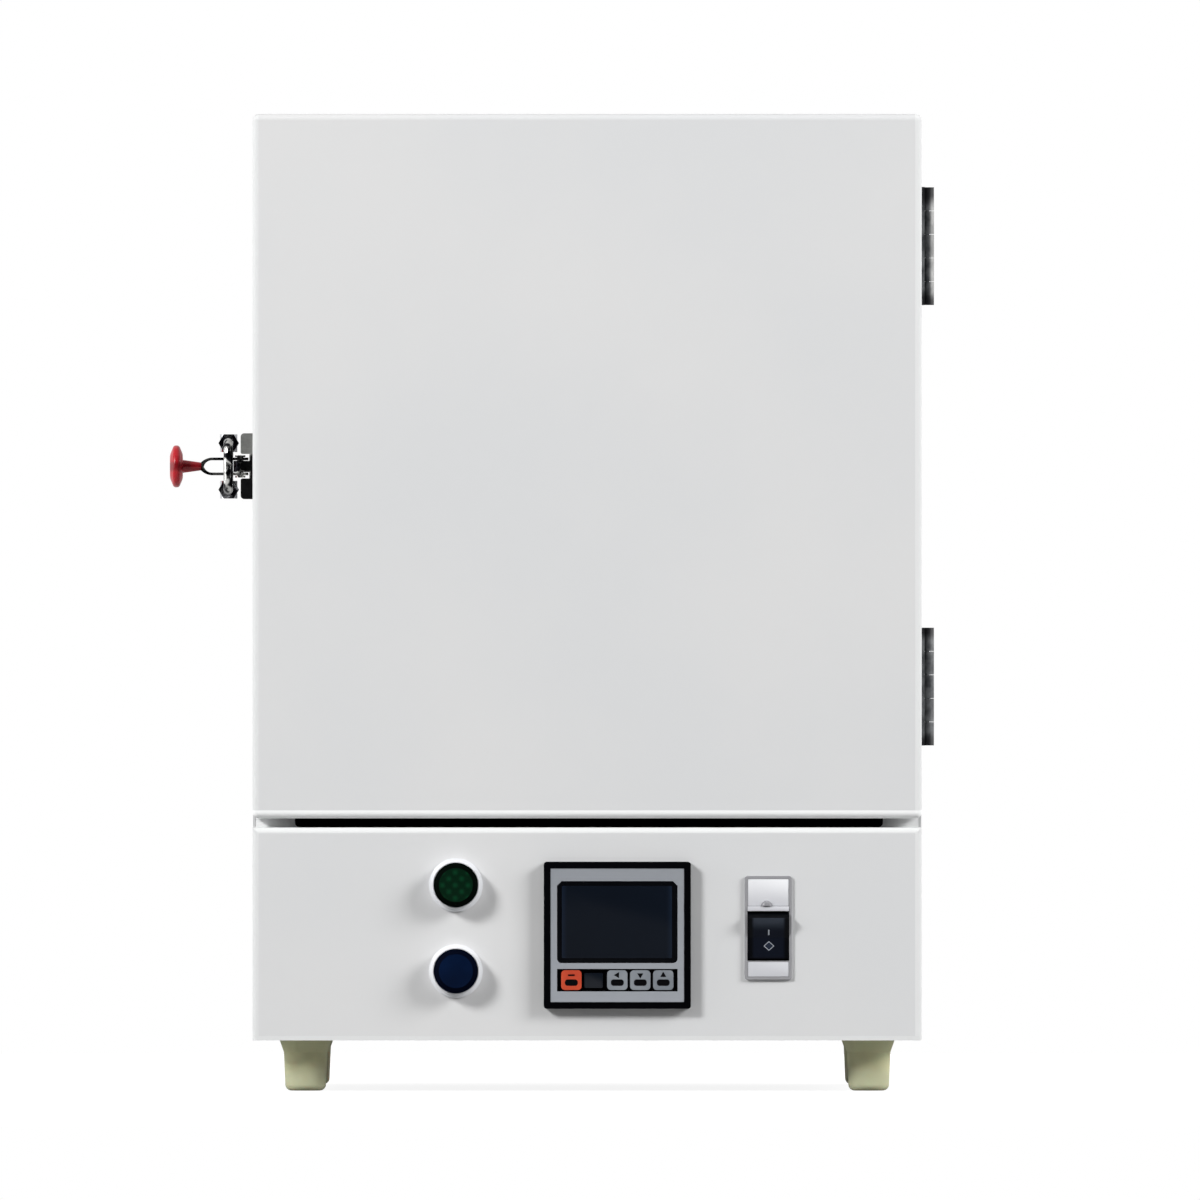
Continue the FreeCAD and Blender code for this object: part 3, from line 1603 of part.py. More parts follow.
node("controller_housing", controller_housing())
node("controller_face", controller_face())
node("controller_screen", controller_screen())
for label, step in (("set", -2), ("shift", 0), ("down", 1), ("up", 2)):
    node(f"key_{label}", controller_key(step))

# Power switch: a plate with a lamp, a rocker that tilts and the body behind
rocker_y = front_y + size("rocker_pivot_depth")


def switch_plate():
    body = new_body("SwitchPlate")
    front = front_y - size("switch_plate_thickness")
    half = size("switch_plate_width") / 2
    tall = size("switch_plate_height") / 2
    centre_z = size("switch_plate_z")
    sketch = sketch_on(body, "XZ_Plane", front)
    draw_rectangle(sketch, switch_x - half, switch_x + half, centre_z - tall, centre_z + tall)
    pad(body, sketch, size("switch_plate_thickness"))
    round_edges(body, size("switch_corner"), lambda p, d: is_along(d, AXIS_Y))
    round_edges(body, size("switch_edge"), lambda p, d: near(p.y, front))
    sketch = sketch_on(body, "XZ_Plane", front)
    wide = cavity_half_width
    high = cavity_half_height
    draw_rectangle(sketch, switch_x - wide, switch_x + wide, rocker_z - high, rocker_z + high)
    draw_circle(sketch, size("lamp_x"), lamp_stem_z, size("lamp_stem_radius"))
    pocket(body, sketch, size("switch_plate_thickness"))
    sketch = sketch_on(body, "XZ_Plane", front)
    rim = size("switch_rim")
    left, right = switch_x - half + rim, switch_x + half - rim
    draw_rectangle(sketch, left, right, size("lamp_z") - fit, centre_z + tall - rim)
    low_label = rocker_z - high - size("label_margin")
    draw_rectangle(sketch, left, right, centre_z - tall + rim, low_label)
    pocket(body, sketch, size("label_recess"))
    return body


def switch_body():
    depth = size("switch_body_depth")
    x = (switch_x - body_half_width, switch_x + body_half_width)
    z = (rocker_z - body_half_height, rocker_z + body_half_height)
    hollow_x = (switch_x - cavity_half_width, switch_x + cavity_half_width)
    hollow_z = (rocker_z - cavity_half_height, rocker_z + cavity_half_height)
    hollow_y = (front_y - wall, front_y + size("switch_cavity"))
    return cut(block(x, (front_y, front_y + depth), z), block(hollow_x, hollow_y, hollow_z))


def power_rocker():
    """Two facets that meet in a shallow valley; the ends are arcs about the pivot."""
    body = new_body("RockerProfile")
    half = size("rocker_width") / 2
    radius = size("rocker_radius")
    reach = size("rocker_centre_reach")
    angle = size("rocker_facet_angle")
    rise = radius * sine(angle) / cosine(angle)
    back = size("rocker_back")
    sketch = sketch_on(body, "YZ_Plane", -half)
    points = [
        (-reach, 0),
        (-reach - rise, radius),
        (back, radius),
        (back, -radius),
        (-reach - rise, -radius),
    ]
    draw_polygon(sketch, points)
    pad(body, sketch, size("rocker_width"))
    round_edges(body, size("rocker_corner"), lambda p, d: is_along(d, AXIS_Y) and near(p.z, -radius))
    drum = rod("x", (-half, 0, 0), size("rocker_width"), radius)
    rocker = common(body, drum)
    rocker.Placement = Placement(Vector(), Rotation(Vector(1, 0, 0), -1))
    bind(rocker, Placement_Rotation_Angle=size("rocker_tilt"))
    place(rocker, switch_x, rocker_y, rocker_z)
    return rocker


def pilot_lamp():
    """A low dome with its lower half cut away, on a stem through the plate."""
    rise = size("lamp_rise")
    radius = size("lamp_radius")
    x, z = size("lamp_x"), size("lamp_z")
    seat_y = front_y - size("switch_plate_thickness") + size("label_recess")
    profile = [(-rise, 0), (-rise, radius - rise), (0, radius), (0, 0)]
    dome = turned("Lamp", profile, "H_Axis", "YZ_Plane", arcs={1: 0})
    place(dome, x, seat_y, z)
    upper = block((x - radius, x + radius), (seat_y - rise, seat_y), (z, z + radius))
    stem = rod("y", (x, seat_y, lamp_stem_z), size("lamp_length"), size("lamp_stem_radius"))
    return fuse(common(dome, upper), stem)


node("switch_plate", switch_plate())
node("switch_body", switch_body())
node("power_rocker", power_rocker())
node("pilot_lamp", pilot_lamp())


# Cable gland in the back panel, with its bore left open
def cable_gland():
    hexagon = doc.addObject("Part::Prism", "Hexagon")
    hexagon.Polygon = 6
    hexagon.Placement = Placement(Vector(), TURNS["y"])
    thickness = size("gland_hex_thickness")
    bind(hexagon, Circumradius=size("gland_hex_width") / math.sqrt(3), Height=thickness)
    place(hexagon, gland_x, rear_y, gland_z)
    dome_radius = size("gland_dome_radius")
    dome_start = rear_y + thickness
    straight = (size("rear_reach") - thickness) / 2
    sleeve = rod("y", (gland_x, dome_start, gland_z), straight, dome_radius)
    tip_start = (gland_x, dome_start + straight, gland_z)
    tip = cone("y", tip_start, straight, dome_radius, size("gland_tip_radius"))
    thread_y = rear_y - size("flange_height")
    thread = rod("y", (gland_x, thread_y, gland_z), size("flange_height"), size("gland_thread_radius"))
    nut = doc.addObject("Part::Prism", "LockNut")
    nut.Polygon = 6
    nut.Placement = Placement(Vector(), TURNS["y"])
    bind(nut, Circumradius=size("gland_hex_width") / math.sqrt(3), Height=thickness)
    place(nut, gland_x, rear_y - wall - thickness, gland_z)
    through = size("rear_reach") + size("flange_height")
    bore = rod("y", (gland_x, thread_y, gland_z), through, size("gland_bore_radius"))
    return cut(fuse(hexagon, sleeve, tip, thread, nut), bore)


node("cable_gland", cable_gland())


# Electrics on the base pan: the relay on its finned sink and the terminal strip
def solid_state_relay():
    half = size("relay_width") / 2
    x, y = size("relay_x"), size("relay_y")
    deep = size("relay_depth")
    base = floor_z + wall
    sink_height = size("relay_height")
    pieces = [block((x - half, x + half), (y, y + deep), (base, base + sink_height / 4))]
    fins = 6
    pitch = (size("relay_width") - wall) / (fins - 1)
    for i in range(fins):
        left = x - half + pitch * i
        pieces.append(block((left, left + wall), (y, y + deep), (base, base + sink_height)))
    top = base + sink_height
    pieces.append(block((x - half, x + half), (y, y + deep), (top, top + sink_height)))
    return fuse(*pieces)


def terminal_block():
    half = size("terminal_width") / 2
    x, y = size("terminal_x"), size("terminal_y")
    deep = size("terminal_depth")
    tall = size("terminal_height")
    base = floor_z + wall
    strip = block((x - half, x + half), (y, y + deep), (base, base + tall))
    ways = int(SIZES["terminal_ways"])
    pitch = size("terminal_width") / ways
    slots = []
    for i in range(1, ways):
        at = x - half + pitch * i
        slots.append(block((at - wall / 2, at + wall / 2), (y, y + deep), (base + tall / 2, base + tall)))
    return cut(strip, *slots)


node("solid_state_relay", solid_state_relay())
node("terminal_block", terminal_block())

# Screws of the cabinet and of the door
RIGHT = Vector(1, 0, 0)
LEFT = Vector(-1, 0, 0)
BACK = Vector(0, 1, 0)
leaf_face = half_width + size("hinge_leaf")
case_screws = [((leaf_face, y, z), RIGHT, True) for y, z in frame_leaf_screws]
case_screws += [((-half_width - size("latch_plate"), y, z), LEFT, True) for y, z in latch_screws]
case_screws += [((x, rear_y, z), BACK, False) for x, z in rear_screws]
node("case_screws", screws(case_screws))
door_screws = [((leaf_face, y, z), RIGHT, True) for y, z in door_leaf_screws]
door_screws += [((-half_width - size("keeper_plate"), y, z), LEFT, False) for y, z in keeper_screws]
door_screws += [((x, plate_back_y, z), BACK, False) for x, z in inner_screws]
node("door_screws", screws(door_screws))

# Every object has to be sound before anything is written
doc.recompute()
for thing in doc.Objects:
    if {"Invalid", "Error"} & set(thing.State):
        raise RuntimeError(f"{thing.Name} ({thing.Label}) failed")
for thing in nodes:
    if thing.Shape.isNull() or not thing.Shape.isValid() or not thing.Shape.Solids:
        raise RuntimeError(f"{thing.Label} has no sound solid")
    thing.Shape.exportStep(f"parts/{thing.Label}.step")
print(f"{len(nodes)} nodes written")
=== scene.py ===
# %% [markdown]
# # A laboratory muffle furnace
# The part comes in as a frame of CAD nodes that already have the right shape and place. This
# lesson dresses it: it sets the stage and the lamps, mixes a finish for every surface, and models
# the small pieces whose form the eye looks for. Everything is in metres, +Z is up and the front
# of the furnace looks along -Y.

import json
import math

import bmesh
import bpy
from mathutils import Matrix, Vector


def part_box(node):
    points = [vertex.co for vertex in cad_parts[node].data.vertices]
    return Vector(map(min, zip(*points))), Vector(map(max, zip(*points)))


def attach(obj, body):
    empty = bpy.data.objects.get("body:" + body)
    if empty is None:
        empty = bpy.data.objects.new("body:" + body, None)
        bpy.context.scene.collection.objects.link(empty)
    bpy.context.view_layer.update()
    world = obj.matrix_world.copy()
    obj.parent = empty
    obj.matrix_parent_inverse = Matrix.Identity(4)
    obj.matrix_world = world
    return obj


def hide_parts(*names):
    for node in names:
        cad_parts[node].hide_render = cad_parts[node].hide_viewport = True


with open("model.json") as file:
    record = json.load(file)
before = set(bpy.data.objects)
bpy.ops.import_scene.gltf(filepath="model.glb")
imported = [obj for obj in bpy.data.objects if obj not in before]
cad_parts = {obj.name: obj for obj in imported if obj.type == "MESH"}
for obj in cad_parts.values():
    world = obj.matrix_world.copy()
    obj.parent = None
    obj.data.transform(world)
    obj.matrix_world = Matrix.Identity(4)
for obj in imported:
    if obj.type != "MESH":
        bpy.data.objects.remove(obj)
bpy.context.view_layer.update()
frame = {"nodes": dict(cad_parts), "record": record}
nodes = frame["nodes"]

# %% [markdown]
# ## Camera
# The picture shows the front squarely, with no side and no top in sight. A camera close by would
# also show the feet of the back row, so this one stands far off with a very long lens, and they
# all but vanish behind the front ones. The numbers say how wide the view is at the door's face and
# which point it is centred on.

# %% Camera
VIEW_WIDTH = 0.7836
VIEW_CENTRE = Vector((0.0315, -0.2695, 0.3206))
VIEW_DISTANCE = 35.0
SENSOR_WIDTH = 36  # mm

scene = bpy.context.scene
camera = bpy.data.objects.new("Camera", bpy.data.cameras.new("Camera"))
scene.collection.objects.link(camera)
camera.location = VIEW_CENTRE - Vector((0, VIEW_DISTANCE, 0))
camera.rotation_euler = (math.radians(90), 0, 0)
camera.data.sensor_width = SENSOR_WIDTH
camera.data.lens = SENSOR_WIDTH * VIEW_DISTANCE / VIEW_WIDTH
camera.data.clip_start = 1
camera.data.clip_end = 400
scene.camera = camera
print("lens", round(camera.data.lens), "mm at", VIEW_DISTANCE, "m")

# %% [markdown]
# ## Shader maths in plain Python
# Every finish is built from nodes, and long chains of Math nodes are hard to read. A small class
# wraps a socket and overloads the operators, so an expression such as 1 - mask * 0.4 adds its own
# Math nodes. Numbers that don't vary are worked out in Python and never reach the node tree.

# %% Socket wrapper


class Value:
    """A socket that can be added, multiplied and raised like a number."""

    def __init__(self, finish, socket):
        self.finish = finish
        self.socket = socket

    def __add__(self, other):
        return self.finish.maths("ADD", self, other)

    def __sub__(self, other):
        return self.finish.maths("SUBTRACT", self, other)

    def __rsub__(self, other):
        return self.finish.maths("SUBTRACT", other, self)

    def __mul__(self, other):
        return self.finish.maths("MULTIPLY", self, other)

    def __pow__(self, other):
        return self.finish.maths("POWER", self, other)

    __radd__ = __add__
    __rmul__ = __mul__

    def step(self, low, high):
        """0 below low, 1 above high, and smooth in between."""
        settings = {"interpolation_type": "SMOOTHSTEP"}
        inputs = {"Value": self, "From Min": low, "From Max": high}
        return self.finish.node("ShaderNodeMapRange", settings, **inputs)


# %% [markdown]
# A finish is one material on the Principled shader. Its class has one method that adds any node:
# settings first, then the values or links of its sockets. The others are short names for what
# nearly every finish uses: noise in object coordinates, a blend of two colours, and a bump. Object
# coordinates are in metres, so a noise of scale 1000 has grains about a millimetre wide.

# %% Finish class


def linear(colour):
    """A screen colour, 0 to 255, as the linear values that a shader wants."""
    parts = [v / 255 for v in colour]
    return [p / 12.92 if p <= 0.04045 else ((p + 0.055) / 1.055) ** 2.4 for p in parts] + [1.0]


class Finish:
    """A named material whose Principled shader takes plain values or varying sockets."""

    def __init__(self, name, **constants):
        self.material = bpy.data.materials.new(name)
        self.material.use_nodes = True
        self.tree = self.material.node_tree
        self.shader = self.tree.nodes["Principled BSDF"]
        for socket, value in constants.items():
            self.shader.inputs[socket.replace("_", " ")].default_value = value
        self.place = self.node("ShaderNodeTexCoord", {}, output="Object")

    def node(self, kind, settings, *inputs, output=0, **named):
        """Adds a node, sets it up, feeds its sockets and gives the value of one output."""
        made = self.tree.nodes.new(kind)
        for setting, value in settings.items():
            setattr(made, setting, value)
        for socket, value in [*enumerate(inputs), *named.items()]:
            self.feed(made.inputs[socket], value)
        return Value(self, made.outputs[output])

    def feed(self, socket, value):
        """Links a varying value to the socket, or writes a plain one into it."""
        if isinstance(value, Value):
            self.tree.links.new(value.socket, socket)
        else:
            socket.default_value = value

    def maths(self, operation, *inputs):
        return self.node("ShaderNodeMath", {"operation": operation}, *inputs)

    def stretch(self, x, y, z):
        """The object coordinates, scaled along each axis."""
        return self.node("ShaderNodeMapping", {}, Vector=self.place, Scale=(x, y, z))

    def noise(self, scale, detail=2.0, rough=0.5, at=None):
        inputs = {"Vector": at or self.place, "Scale": scale, "Detail": detail, "Roughness": rough}
        return self.node("ShaderNodeTexNoise", {}, **inputs)

    def cells(self, scale):
        """The distance to the nearest of many scattered points."""
        return self.node("ShaderNodeTexVoronoi", {}, Vector=self.place, Scale=scale)

    def axis(self, letter):
        return self.node("ShaderNodeSeparateXYZ", {}, self.place, output=letter)

    def band(self, letter, low, high, soft):
        """1 between two places on an axis and 0 outside, with soft ends inside the band."""
        place = self.axis(letter)
        return place.step(low, low + soft) * (1 - place.step(high - soft, high))

    def blend(self, mask, first, second):
        """The first colour where the mask is 0 and the second where it is 1."""
        made = self.tree.nodes.new("ShaderNodeMix")
        made.data_type = "RGBA"
        for index, value in ((0, mask), (6, first), (7, second)):
            self.feed(made.inputs[index], value)
        return Value(self, made.outputs[2])

    def colour(self, value):
        self.feed(self.shader.inputs["Base Color"], value)

    def roughness(self, value):
        self.feed(self.shader.inputs["Roughness"], value)

    def relief(self, height, depth, strength=1.0):
        """A bump: the height runs from 0 to 1 and the depth is in metres."""
        inputs = {"Height": height, "Distance": depth, "Strength": strength}
        self.feed(self.shader.inputs["Normal"], self.node("ShaderNodeBump", {}, **inputs))


finishes = {}


def keep(slot, finish):
    """Makes the finish the usual one of a material slot."""
    finishes[slot] = finish.material
    print(f"{slot}: {len(finish.tree.nodes)} shader nodes")
    return finish


# %% [markdown]
# ## Stage
# A wide pale floor and a white world. The camera sees both at full white, through Light Path, so
# the background is clean without more light on the furnace. The floor reaches that white only
# together with the lamps' light, and so it keeps the furnace's shadow. It lies a hair below the
# feet, because two faces in one plane flicker.

# %% Floor
FLOOR_RADIUS = 2.6
FLOOR_DROP = 0.0002
FLOOR_GLOW = 0.88
FLOOR_LOOK = {"Base_Color": (0.25, 0.25, 0.25, 1), "Emission_Color": (1, 1, 1, 1)}


def white_to_camera(tree, ambient, white):
    """A strength that is white to camera and mirror rays and the ambient level to all others."""
    rays = tree.nodes.new("ShaderNodeLightPath")
    either, seen = (tree.nodes.new("ShaderNodeMath") for _ in range(2))
    either.operation = seen.operation = "MAXIMUM"
    span = tree.nodes.new("ShaderNodeMapRange")
    span.inputs["To Min"].default_value = ambient
    span.inputs["To Max"].default_value = white
    for source, target in (
        (rays.outputs["Is Glossy Ray"], either.inputs[0]),
        (rays.outputs["Is Transmission Ray"], either.inputs[1]),
        (rays.outputs["Is Camera Ray"], seen.inputs[0]),
        (either.outputs[0], seen.inputs[1]),
        (seen.outputs[0], span.inputs["Value"]),
    ):
        tree.links.new(source, target)
    return span.outputs[0]


def stage_object(name, shape, finish):
    """A piece of the stage, with a finish but no slot and no body."""
    mesh = bpy.data.meshes.new(name)
    shape.to_mesh(mesh)
    shape.free()
    mesh.materials.append(finish.material)
    thing = bpy.data.objects.new(name, mesh)
    scene.collection.objects.link(thing)
    return thing


paving = Finish("pale_floor", Roughness=0.9, Specular_IOR_Level=0.0, **FLOOR_LOOK)
glow = white_to_camera(paving.tree, 0.0, FLOOR_GLOW)
paving.tree.links.new(glow, paving.shader.inputs["Emission Strength"])
shape = bmesh.new()
bmesh.ops.create_circle(shape, cap_ends=True, segments=96, radius=FLOOR_RADIUS)
floor = stage_object("Floor", shape, paving)
floor.location.z = -FLOOR_DROP
print("floor", round(floor.dimensions.x, 1), "m wide")

# %% [markdown]
# ## World and lamps
# The shadows beside the pushbuttons tell where the light comes from: one large lamp high at the
# left and a wider one high at the right, further round to the side. A lamp at each side and a weak
# one high in front fill what they leave, and one behind lights the rear wall. The world is dim to
# the furnace's surfaces, so the lamps decide. Two of the lamps don't show in mirror rays: their
# reflections would burn out the flat top.

# %% World
AMBIENT = 0.05

world = bpy.data.worlds.new("Studio")
scene.world = world
world.use_nodes = True
sky = world.node_tree
backdrop = sky.nodes["Background"].inputs
backdrop["Color"].default_value = (1, 1, 1, 1)
sky.links.new(white_to_camera(sky, AMBIENT, 1.0), backdrop["Strength"])
scene.view_settings.view_transform = "Standard"
print("world at", AMBIENT, "for the furnace's surfaces")

# %% Lamps
LOOK_AT = Vector((0.023, -0.25, 0.3))


def lamp(name, direction, distance, width, power, glossy=True):
    """A square area lamp that looks at the furnace's front."""
    light = bpy.data.lights.new(name, "AREA")
    light.shape = "SQUARE"
    light.size = width
    light.energy = power
    holder = bpy.data.objects.new(name, light)
    scene.collection.objects.link(holder)
    towards = Vector(direction).normalized()
    holder.location = LOOK_AT + towards * distance
    holder.rotation_euler = (-towards).to_track_quat("-Z", "Y").to_euler()
    holder.visible_glossy = glossy
    print(f"{name}: {power} W at {distance} m")


lamp("Left key", (-0.671, -0.573, 0.47), 6.0, 1.3, 276)
lamp("Right key", (0.79, -0.43, 0.437), 6.0, 2.2, 262, glossy=False)
lamp("Left side", (-0.99, -0.1, 0.1), 4.0, 2.4, 48)
lamp("Right side", (0.99, -0.1, 0.1), 4.0, 2.4, 42)
lamp("High front", (0.0, -0.5, 0.87), 5.0, 2.0, 10)
lamp("Back", (0.3, 1.0, 0.2), 3.5, 1.6, 60, glossy=False)

# %% [markdown]
# Bright metal shows only what it mirrors, and in an all-white room it has no form. A large dark
# card behind the lamps gives it something dark to mirror; no other ray sees the card.

# %% Dark card
CARD_HALF_WIDTH, CARD_HALF_HEIGHT = 14.0, 8.0
CARD_PLACE = (0, -8, 7.0)


def stand_up(shape):
    """Turns a flat shape from the XY plane upright, so that it faces the front."""
    bmesh.ops.rotate(shape, matrix=Matrix.Rotation(math.radians(90), 3, "X"), verts=shape.verts)


shape = bmesh.new()
bmesh.ops.create_grid(shape, x_segments=1, y_segments=1, size=1.0)
bmesh.ops.scale(shape, vec=(CARD_HALF_WIDTH, CARD_HALF_HEIGHT, 1.0), verts=shape.verts)
stand_up(shape)
bmesh.ops.translate(shape, vec=CARD_PLACE, verts=shape.verts)
dark_card = Finish("dark_card", Base_Color=(0.01, 0.01, 0.012, 1), Roughness=1.0)
card = stage_object("Card", shape, dark_card)
card.visible_camera = False
card.visible_diffuse = False
card.visible_shadow = False
card.visible_transmission = False
print("card", [round(v) for v in card.dimensions], "m")

# %% [markdown]
# ## Enamel
# The cabinet, door and panel are white stove enamel on steel. Seen close it is never flat: it has
# a faint orange peel a millimetre or two wide, and its gloss drifts a little over the sheet. The
# colour varies by less than one part in fifty, which the eye reads as real paint and not as dirt.
# The bent edges of the door and the panel are painted whiter: a painted highlight where the bends
# catch the light. They get the same finish with a narrow band along each bend: an axis, two places
# on it and the white of the painted highlight there. The frame behind them gets a band too,
# painted light on the strip of it that shows in the shaded gap. The places are worked out from the
# panel's box.

# %% Enamel


def enamelled(name, bands=()):
    """White stove enamel. Inside each band along X or Z a painted highlight gives the band's own
    white.
    """
    finish = Finish(name, Specular_IOR_Level=0.2)
    peel = finish.noise(520.0)
    drift = finish.noise(5.0, 3.0).step(0.3, 0.7)
    white = finish.blend(drift, linear((224, 224, 224)), linear((220, 221, 222)))
    # Each band paints a highlight along a bend, or painted light on the frame's strip in the gap.
    for letter, low, high, shade in bands:
        painted_bend_highlight = finish.band(letter, low, high, 0.0006)
        white = finish.blend(painted_bend_highlight, white, linear((shade, shade + 1, shade + 1)))
    finish.colour(white)
    finish.roughness(0.42 + drift * 0.06 + peel * 0.04)
    finish.relief(peel, 0.00006, 0.35)
    return finish


keep("body_enamel", enamelled("stove_enamel"))
low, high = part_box("control_panel")
# Painted highlights along the bends of door and panel, and painted light on the frame in the gap.
left_bend_highlight = ("X", low.x - 0.0011, low.x + 0.0042, 229)
right_bend_highlight = ("X", high.x - 0.0046, high.x + 0.0014, 231)
upper_lip_highlight = ("Z", high.z - 0.0037, high.z + 0.0010, 228)
lower_lip_highlight = ("Z", low.z - 0.0010, low.z + 0.0032, 229)
door_bend_highlight = ("Z", high.z + 0.0050, high.z + 0.0115, 253)
gap_painted_light = ("Z", high.z - 0.0020, high.z + 0.0100, 253)
door_enamel = enamelled("door_enamel", [left_bend_highlight, right_bend_highlight, door_bend_highlight])
panel_enamel = enamelled("panel_enamel", [left_bend_highlight, right_bend_highlight, upper_lip_highlight, lower_lip_highlight])
frame_enamel = enamelled("frame_enamel", [gap_painted_light])

# %% [markdown]
# ## Bare steel
# The sheets inside are cold-rolled. Rolling leaves long faint streaks, so the noise is squeezed
# along one axis; it drives the gloss more than the colour.

# %% Bare steel
steel = Finish("rolled_steel", Metallic=0.85)
streak = steel.noise(60.0, 4.0, 0.6, at=steel.stretch(1.0, 0.08, 14.0))
cloud = steel.noise(9.0, 3.0)
steel.colour(steel.blend(cloud, linear((168, 168, 166)), linear((192, 192, 190))))
steel.roughness(0.34 + streak * 0.22)
steel.relief(streak, 0.00004, 0.5)
keep("inner_steel", steel)

# %% [markdown]
# ## Ceramic fibre, hearth and rope
# Fibre board is felted: thousands of short threads pressed flat, with small pits where clumps
# tore. Two noises of different size make the felt and a cell pattern makes the pits. The hearth
# plate is fired and grainy, with dark specks of iron. The rope's own plait is geometry; its finish
# adds the finer ply and the fuzz.

# %% Fibre board
board = Finish("fibre_board", Roughness=0.95, Specular_IOR_Level=0.1)
felt = board.noise(700.0, 6.0, 0.7)
clump = board.noise(60.0, 4.0, 0.6)
pits = board.cells(240.0).step(0.05, 0.3)
board.colour(board.blend(clump.step(0.3, 0.75), linear((243, 238, 226)), linear((228, 220, 203))))
board.relief(felt * 0.5 + clump * 0.3 + pits * 0.4, 0.0008, 0.8)
keep("fibre_board", board)

# %% Hearth
hearth = Finish("fired_hearth", Specular_IOR_Level=0.2)
grain = hearth.noise(450.0, 5.0, 0.6)
specks = 1 - hearth.cells(330.0).step(0.08, 0.2)
tone = hearth.blend(hearth.noise(25.0, 3.0), linear((218, 206, 184)), linear((196, 178, 150)))
hearth.colour(hearth.blend(specks * 0.7, tone, linear((110, 82, 58))))
hearth.roughness(0.78 + grain * 0.15)
hearth.relief(grain, 0.0004, 0.6)
keep("hearth_ceramic", hearth)

# %% Rope seal
rope = Finish("rope_seal", Roughness=0.92, Specular_IOR_Level=0.1)
fuzz = rope.noise(1600.0, 4.0, 0.7)
across = {"wave_type": "BANDS", "bands_direction": "DIAGONAL"}
ply = rope.node("ShaderNodeTexWave", across, Vector=rope.place, Scale=85.0, Distortion=1.0)
rope.colour(rope.blend(ply, linear((205, 198, 182)), linear((238, 234, 222))))
rope.relief(ply * 0.8 + fuzz * 0.3, 0.0007, 0.9)
keep("seal_rope", rope)

# %% [markdown]
# ## Heating wire and sensor sheath
# The wire has been red hot: a matt grey oxide with brown bloom. The sheath and the flue tube show
# temper colours, straw near the cool end and blue-grey where they were hotter, so their colour
# follows the depth into the furnace.

# %% Heating wire
wire = Finish("heating_wire", Metallic=0.5)
bloom = wire.noise(90.0, 4.0, 0.6)
wire.colour(wire.blend(bloom.step(0.4, 0.7), linear((72, 68, 66)), linear((112, 84, 66))))
wire.roughness(0.55 + bloom * 0.25)
wire.relief(wire.noise(1500.0, 3.0), 0.0002, 0.5)
keep("element_wire", wire)

# %% Sensor sheath
HOT_END, COOL_END = 0.10, 0.285

sheath = Finish("tempered_steel", Metallic=0.95)
heat = 1 - sheath.axis("Y").step(HOT_END, COOL_END)
hue = sheath.node("ShaderNodeValToRGB", {}, heat + sheath.noise(40.0, 3.0) * 0.16 - 0.08)
ramp = hue.socket.node.color_ramp
ramp.elements[0].color = linear((186, 184, 180))
ramp.elements[1].color = linear((96, 98, 112))
for stop, tint in ((0.35, (190, 172, 138)), (0.6, (158, 118, 92)), (0.8, (104, 92, 118))):
    ramp.elements.new(stop).color = linear(tint)
sheath.colour(hue)
sheath.roughness(0.25 + sheath.noise(300.0, 3.0) * 0.2)
sheath.relief(sheath.noise(60.0, 3.0, at=sheath.stretch(14.0, 0.1, 14.0)), 0.00004, 0.4)
keep("sensor_steel", sheath)

# %% [markdown]
# ## Plating
# Screws, hinge pins and the trunnion are bright chrome with fine wiping marks. The latch's
# castings are cheaper: they are polished by hand before they are plated, so their faces roll
# gently every few millimetres. The room's light and dark patches in them are painted: one noise
# makes the rolling in the bump and painted dark reflections in the colour. The front nuts are
# painted darker, a painted reflection of the card, and the rear ones are painted pale.

# %% Bright plating
chrome = Finish("bright_plating", Metallic=1.0)
wipe = chrome.noise(180.0, 4.0, 0.6, at=chrome.stretch(1.0, 6.0, 1.0))
chrome.colour(chrome.blend(wipe, linear((214, 215, 218)), linear((188, 189, 193))))
chrome.roughness(0.06 + wipe * 0.1)
chrome.relief(chrome.noise(210.0, 1.0) + wipe * 0.05, 0.0011, 0.6)
keep("plated_steel", chrome)

# %% Latch castings
casting = Finish("latch_castings", Metallic=1.0)
facets_and_painted_reflections = casting.noise(170.0, 1.0, 0.4)
scuff = casting.noise(600.0, 3.0, 0.6)
grey = casting.blend(scuff, linear((206, 206, 203)), linear((150, 150, 147)))
# Painted reflections: where the facet noise is high the colour turns nearly black.
casting.colour(casting.blend(facets_and_painted_reflections.step(0.47, 0.56), grey, linear((26, 26, 30))))
casting.roughness(0.12 + scuff * 0.2)
casting.relief(facets_and_painted_reflections + scuff * 0.05, 0.0016, 0.7)
print("latch castings:", len(casting.tree.nodes), "shader nodes")

# %% Latch nuts
nut_plating = Finish("latch_nut_plating", Metallic=1.0)
facets_and_painted_reflections = nut_plating.noise(150.0, 1.0, 0.4)
low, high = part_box("latch_nuts")
between = (low.y + high.y) / 2
# Painted reflections: the rear nuts are painted pale, the front ones dark with pale patches.
painted_pale_rear = nut_plating.axis("Y").step(between - 0.001, between + 0.001)
front = nut_plating.blend(facets_and_painted_reflections.step(0.5, 0.62), linear((38, 38, 46)), linear((176, 177, 182)))
nut_plating.colour(nut_plating.blend(painted_pale_rear, front, linear((196, 197, 200))))
nut_plating.roughness(0.1 + nut_plating.noise(500.0, 2.0) * 0.2)
nut_plating.relief(facets_and_painted_reflections, 0.0012, 0.6)
print("latch nuts:", len(nut_plating.tree.nodes), "shader nodes")
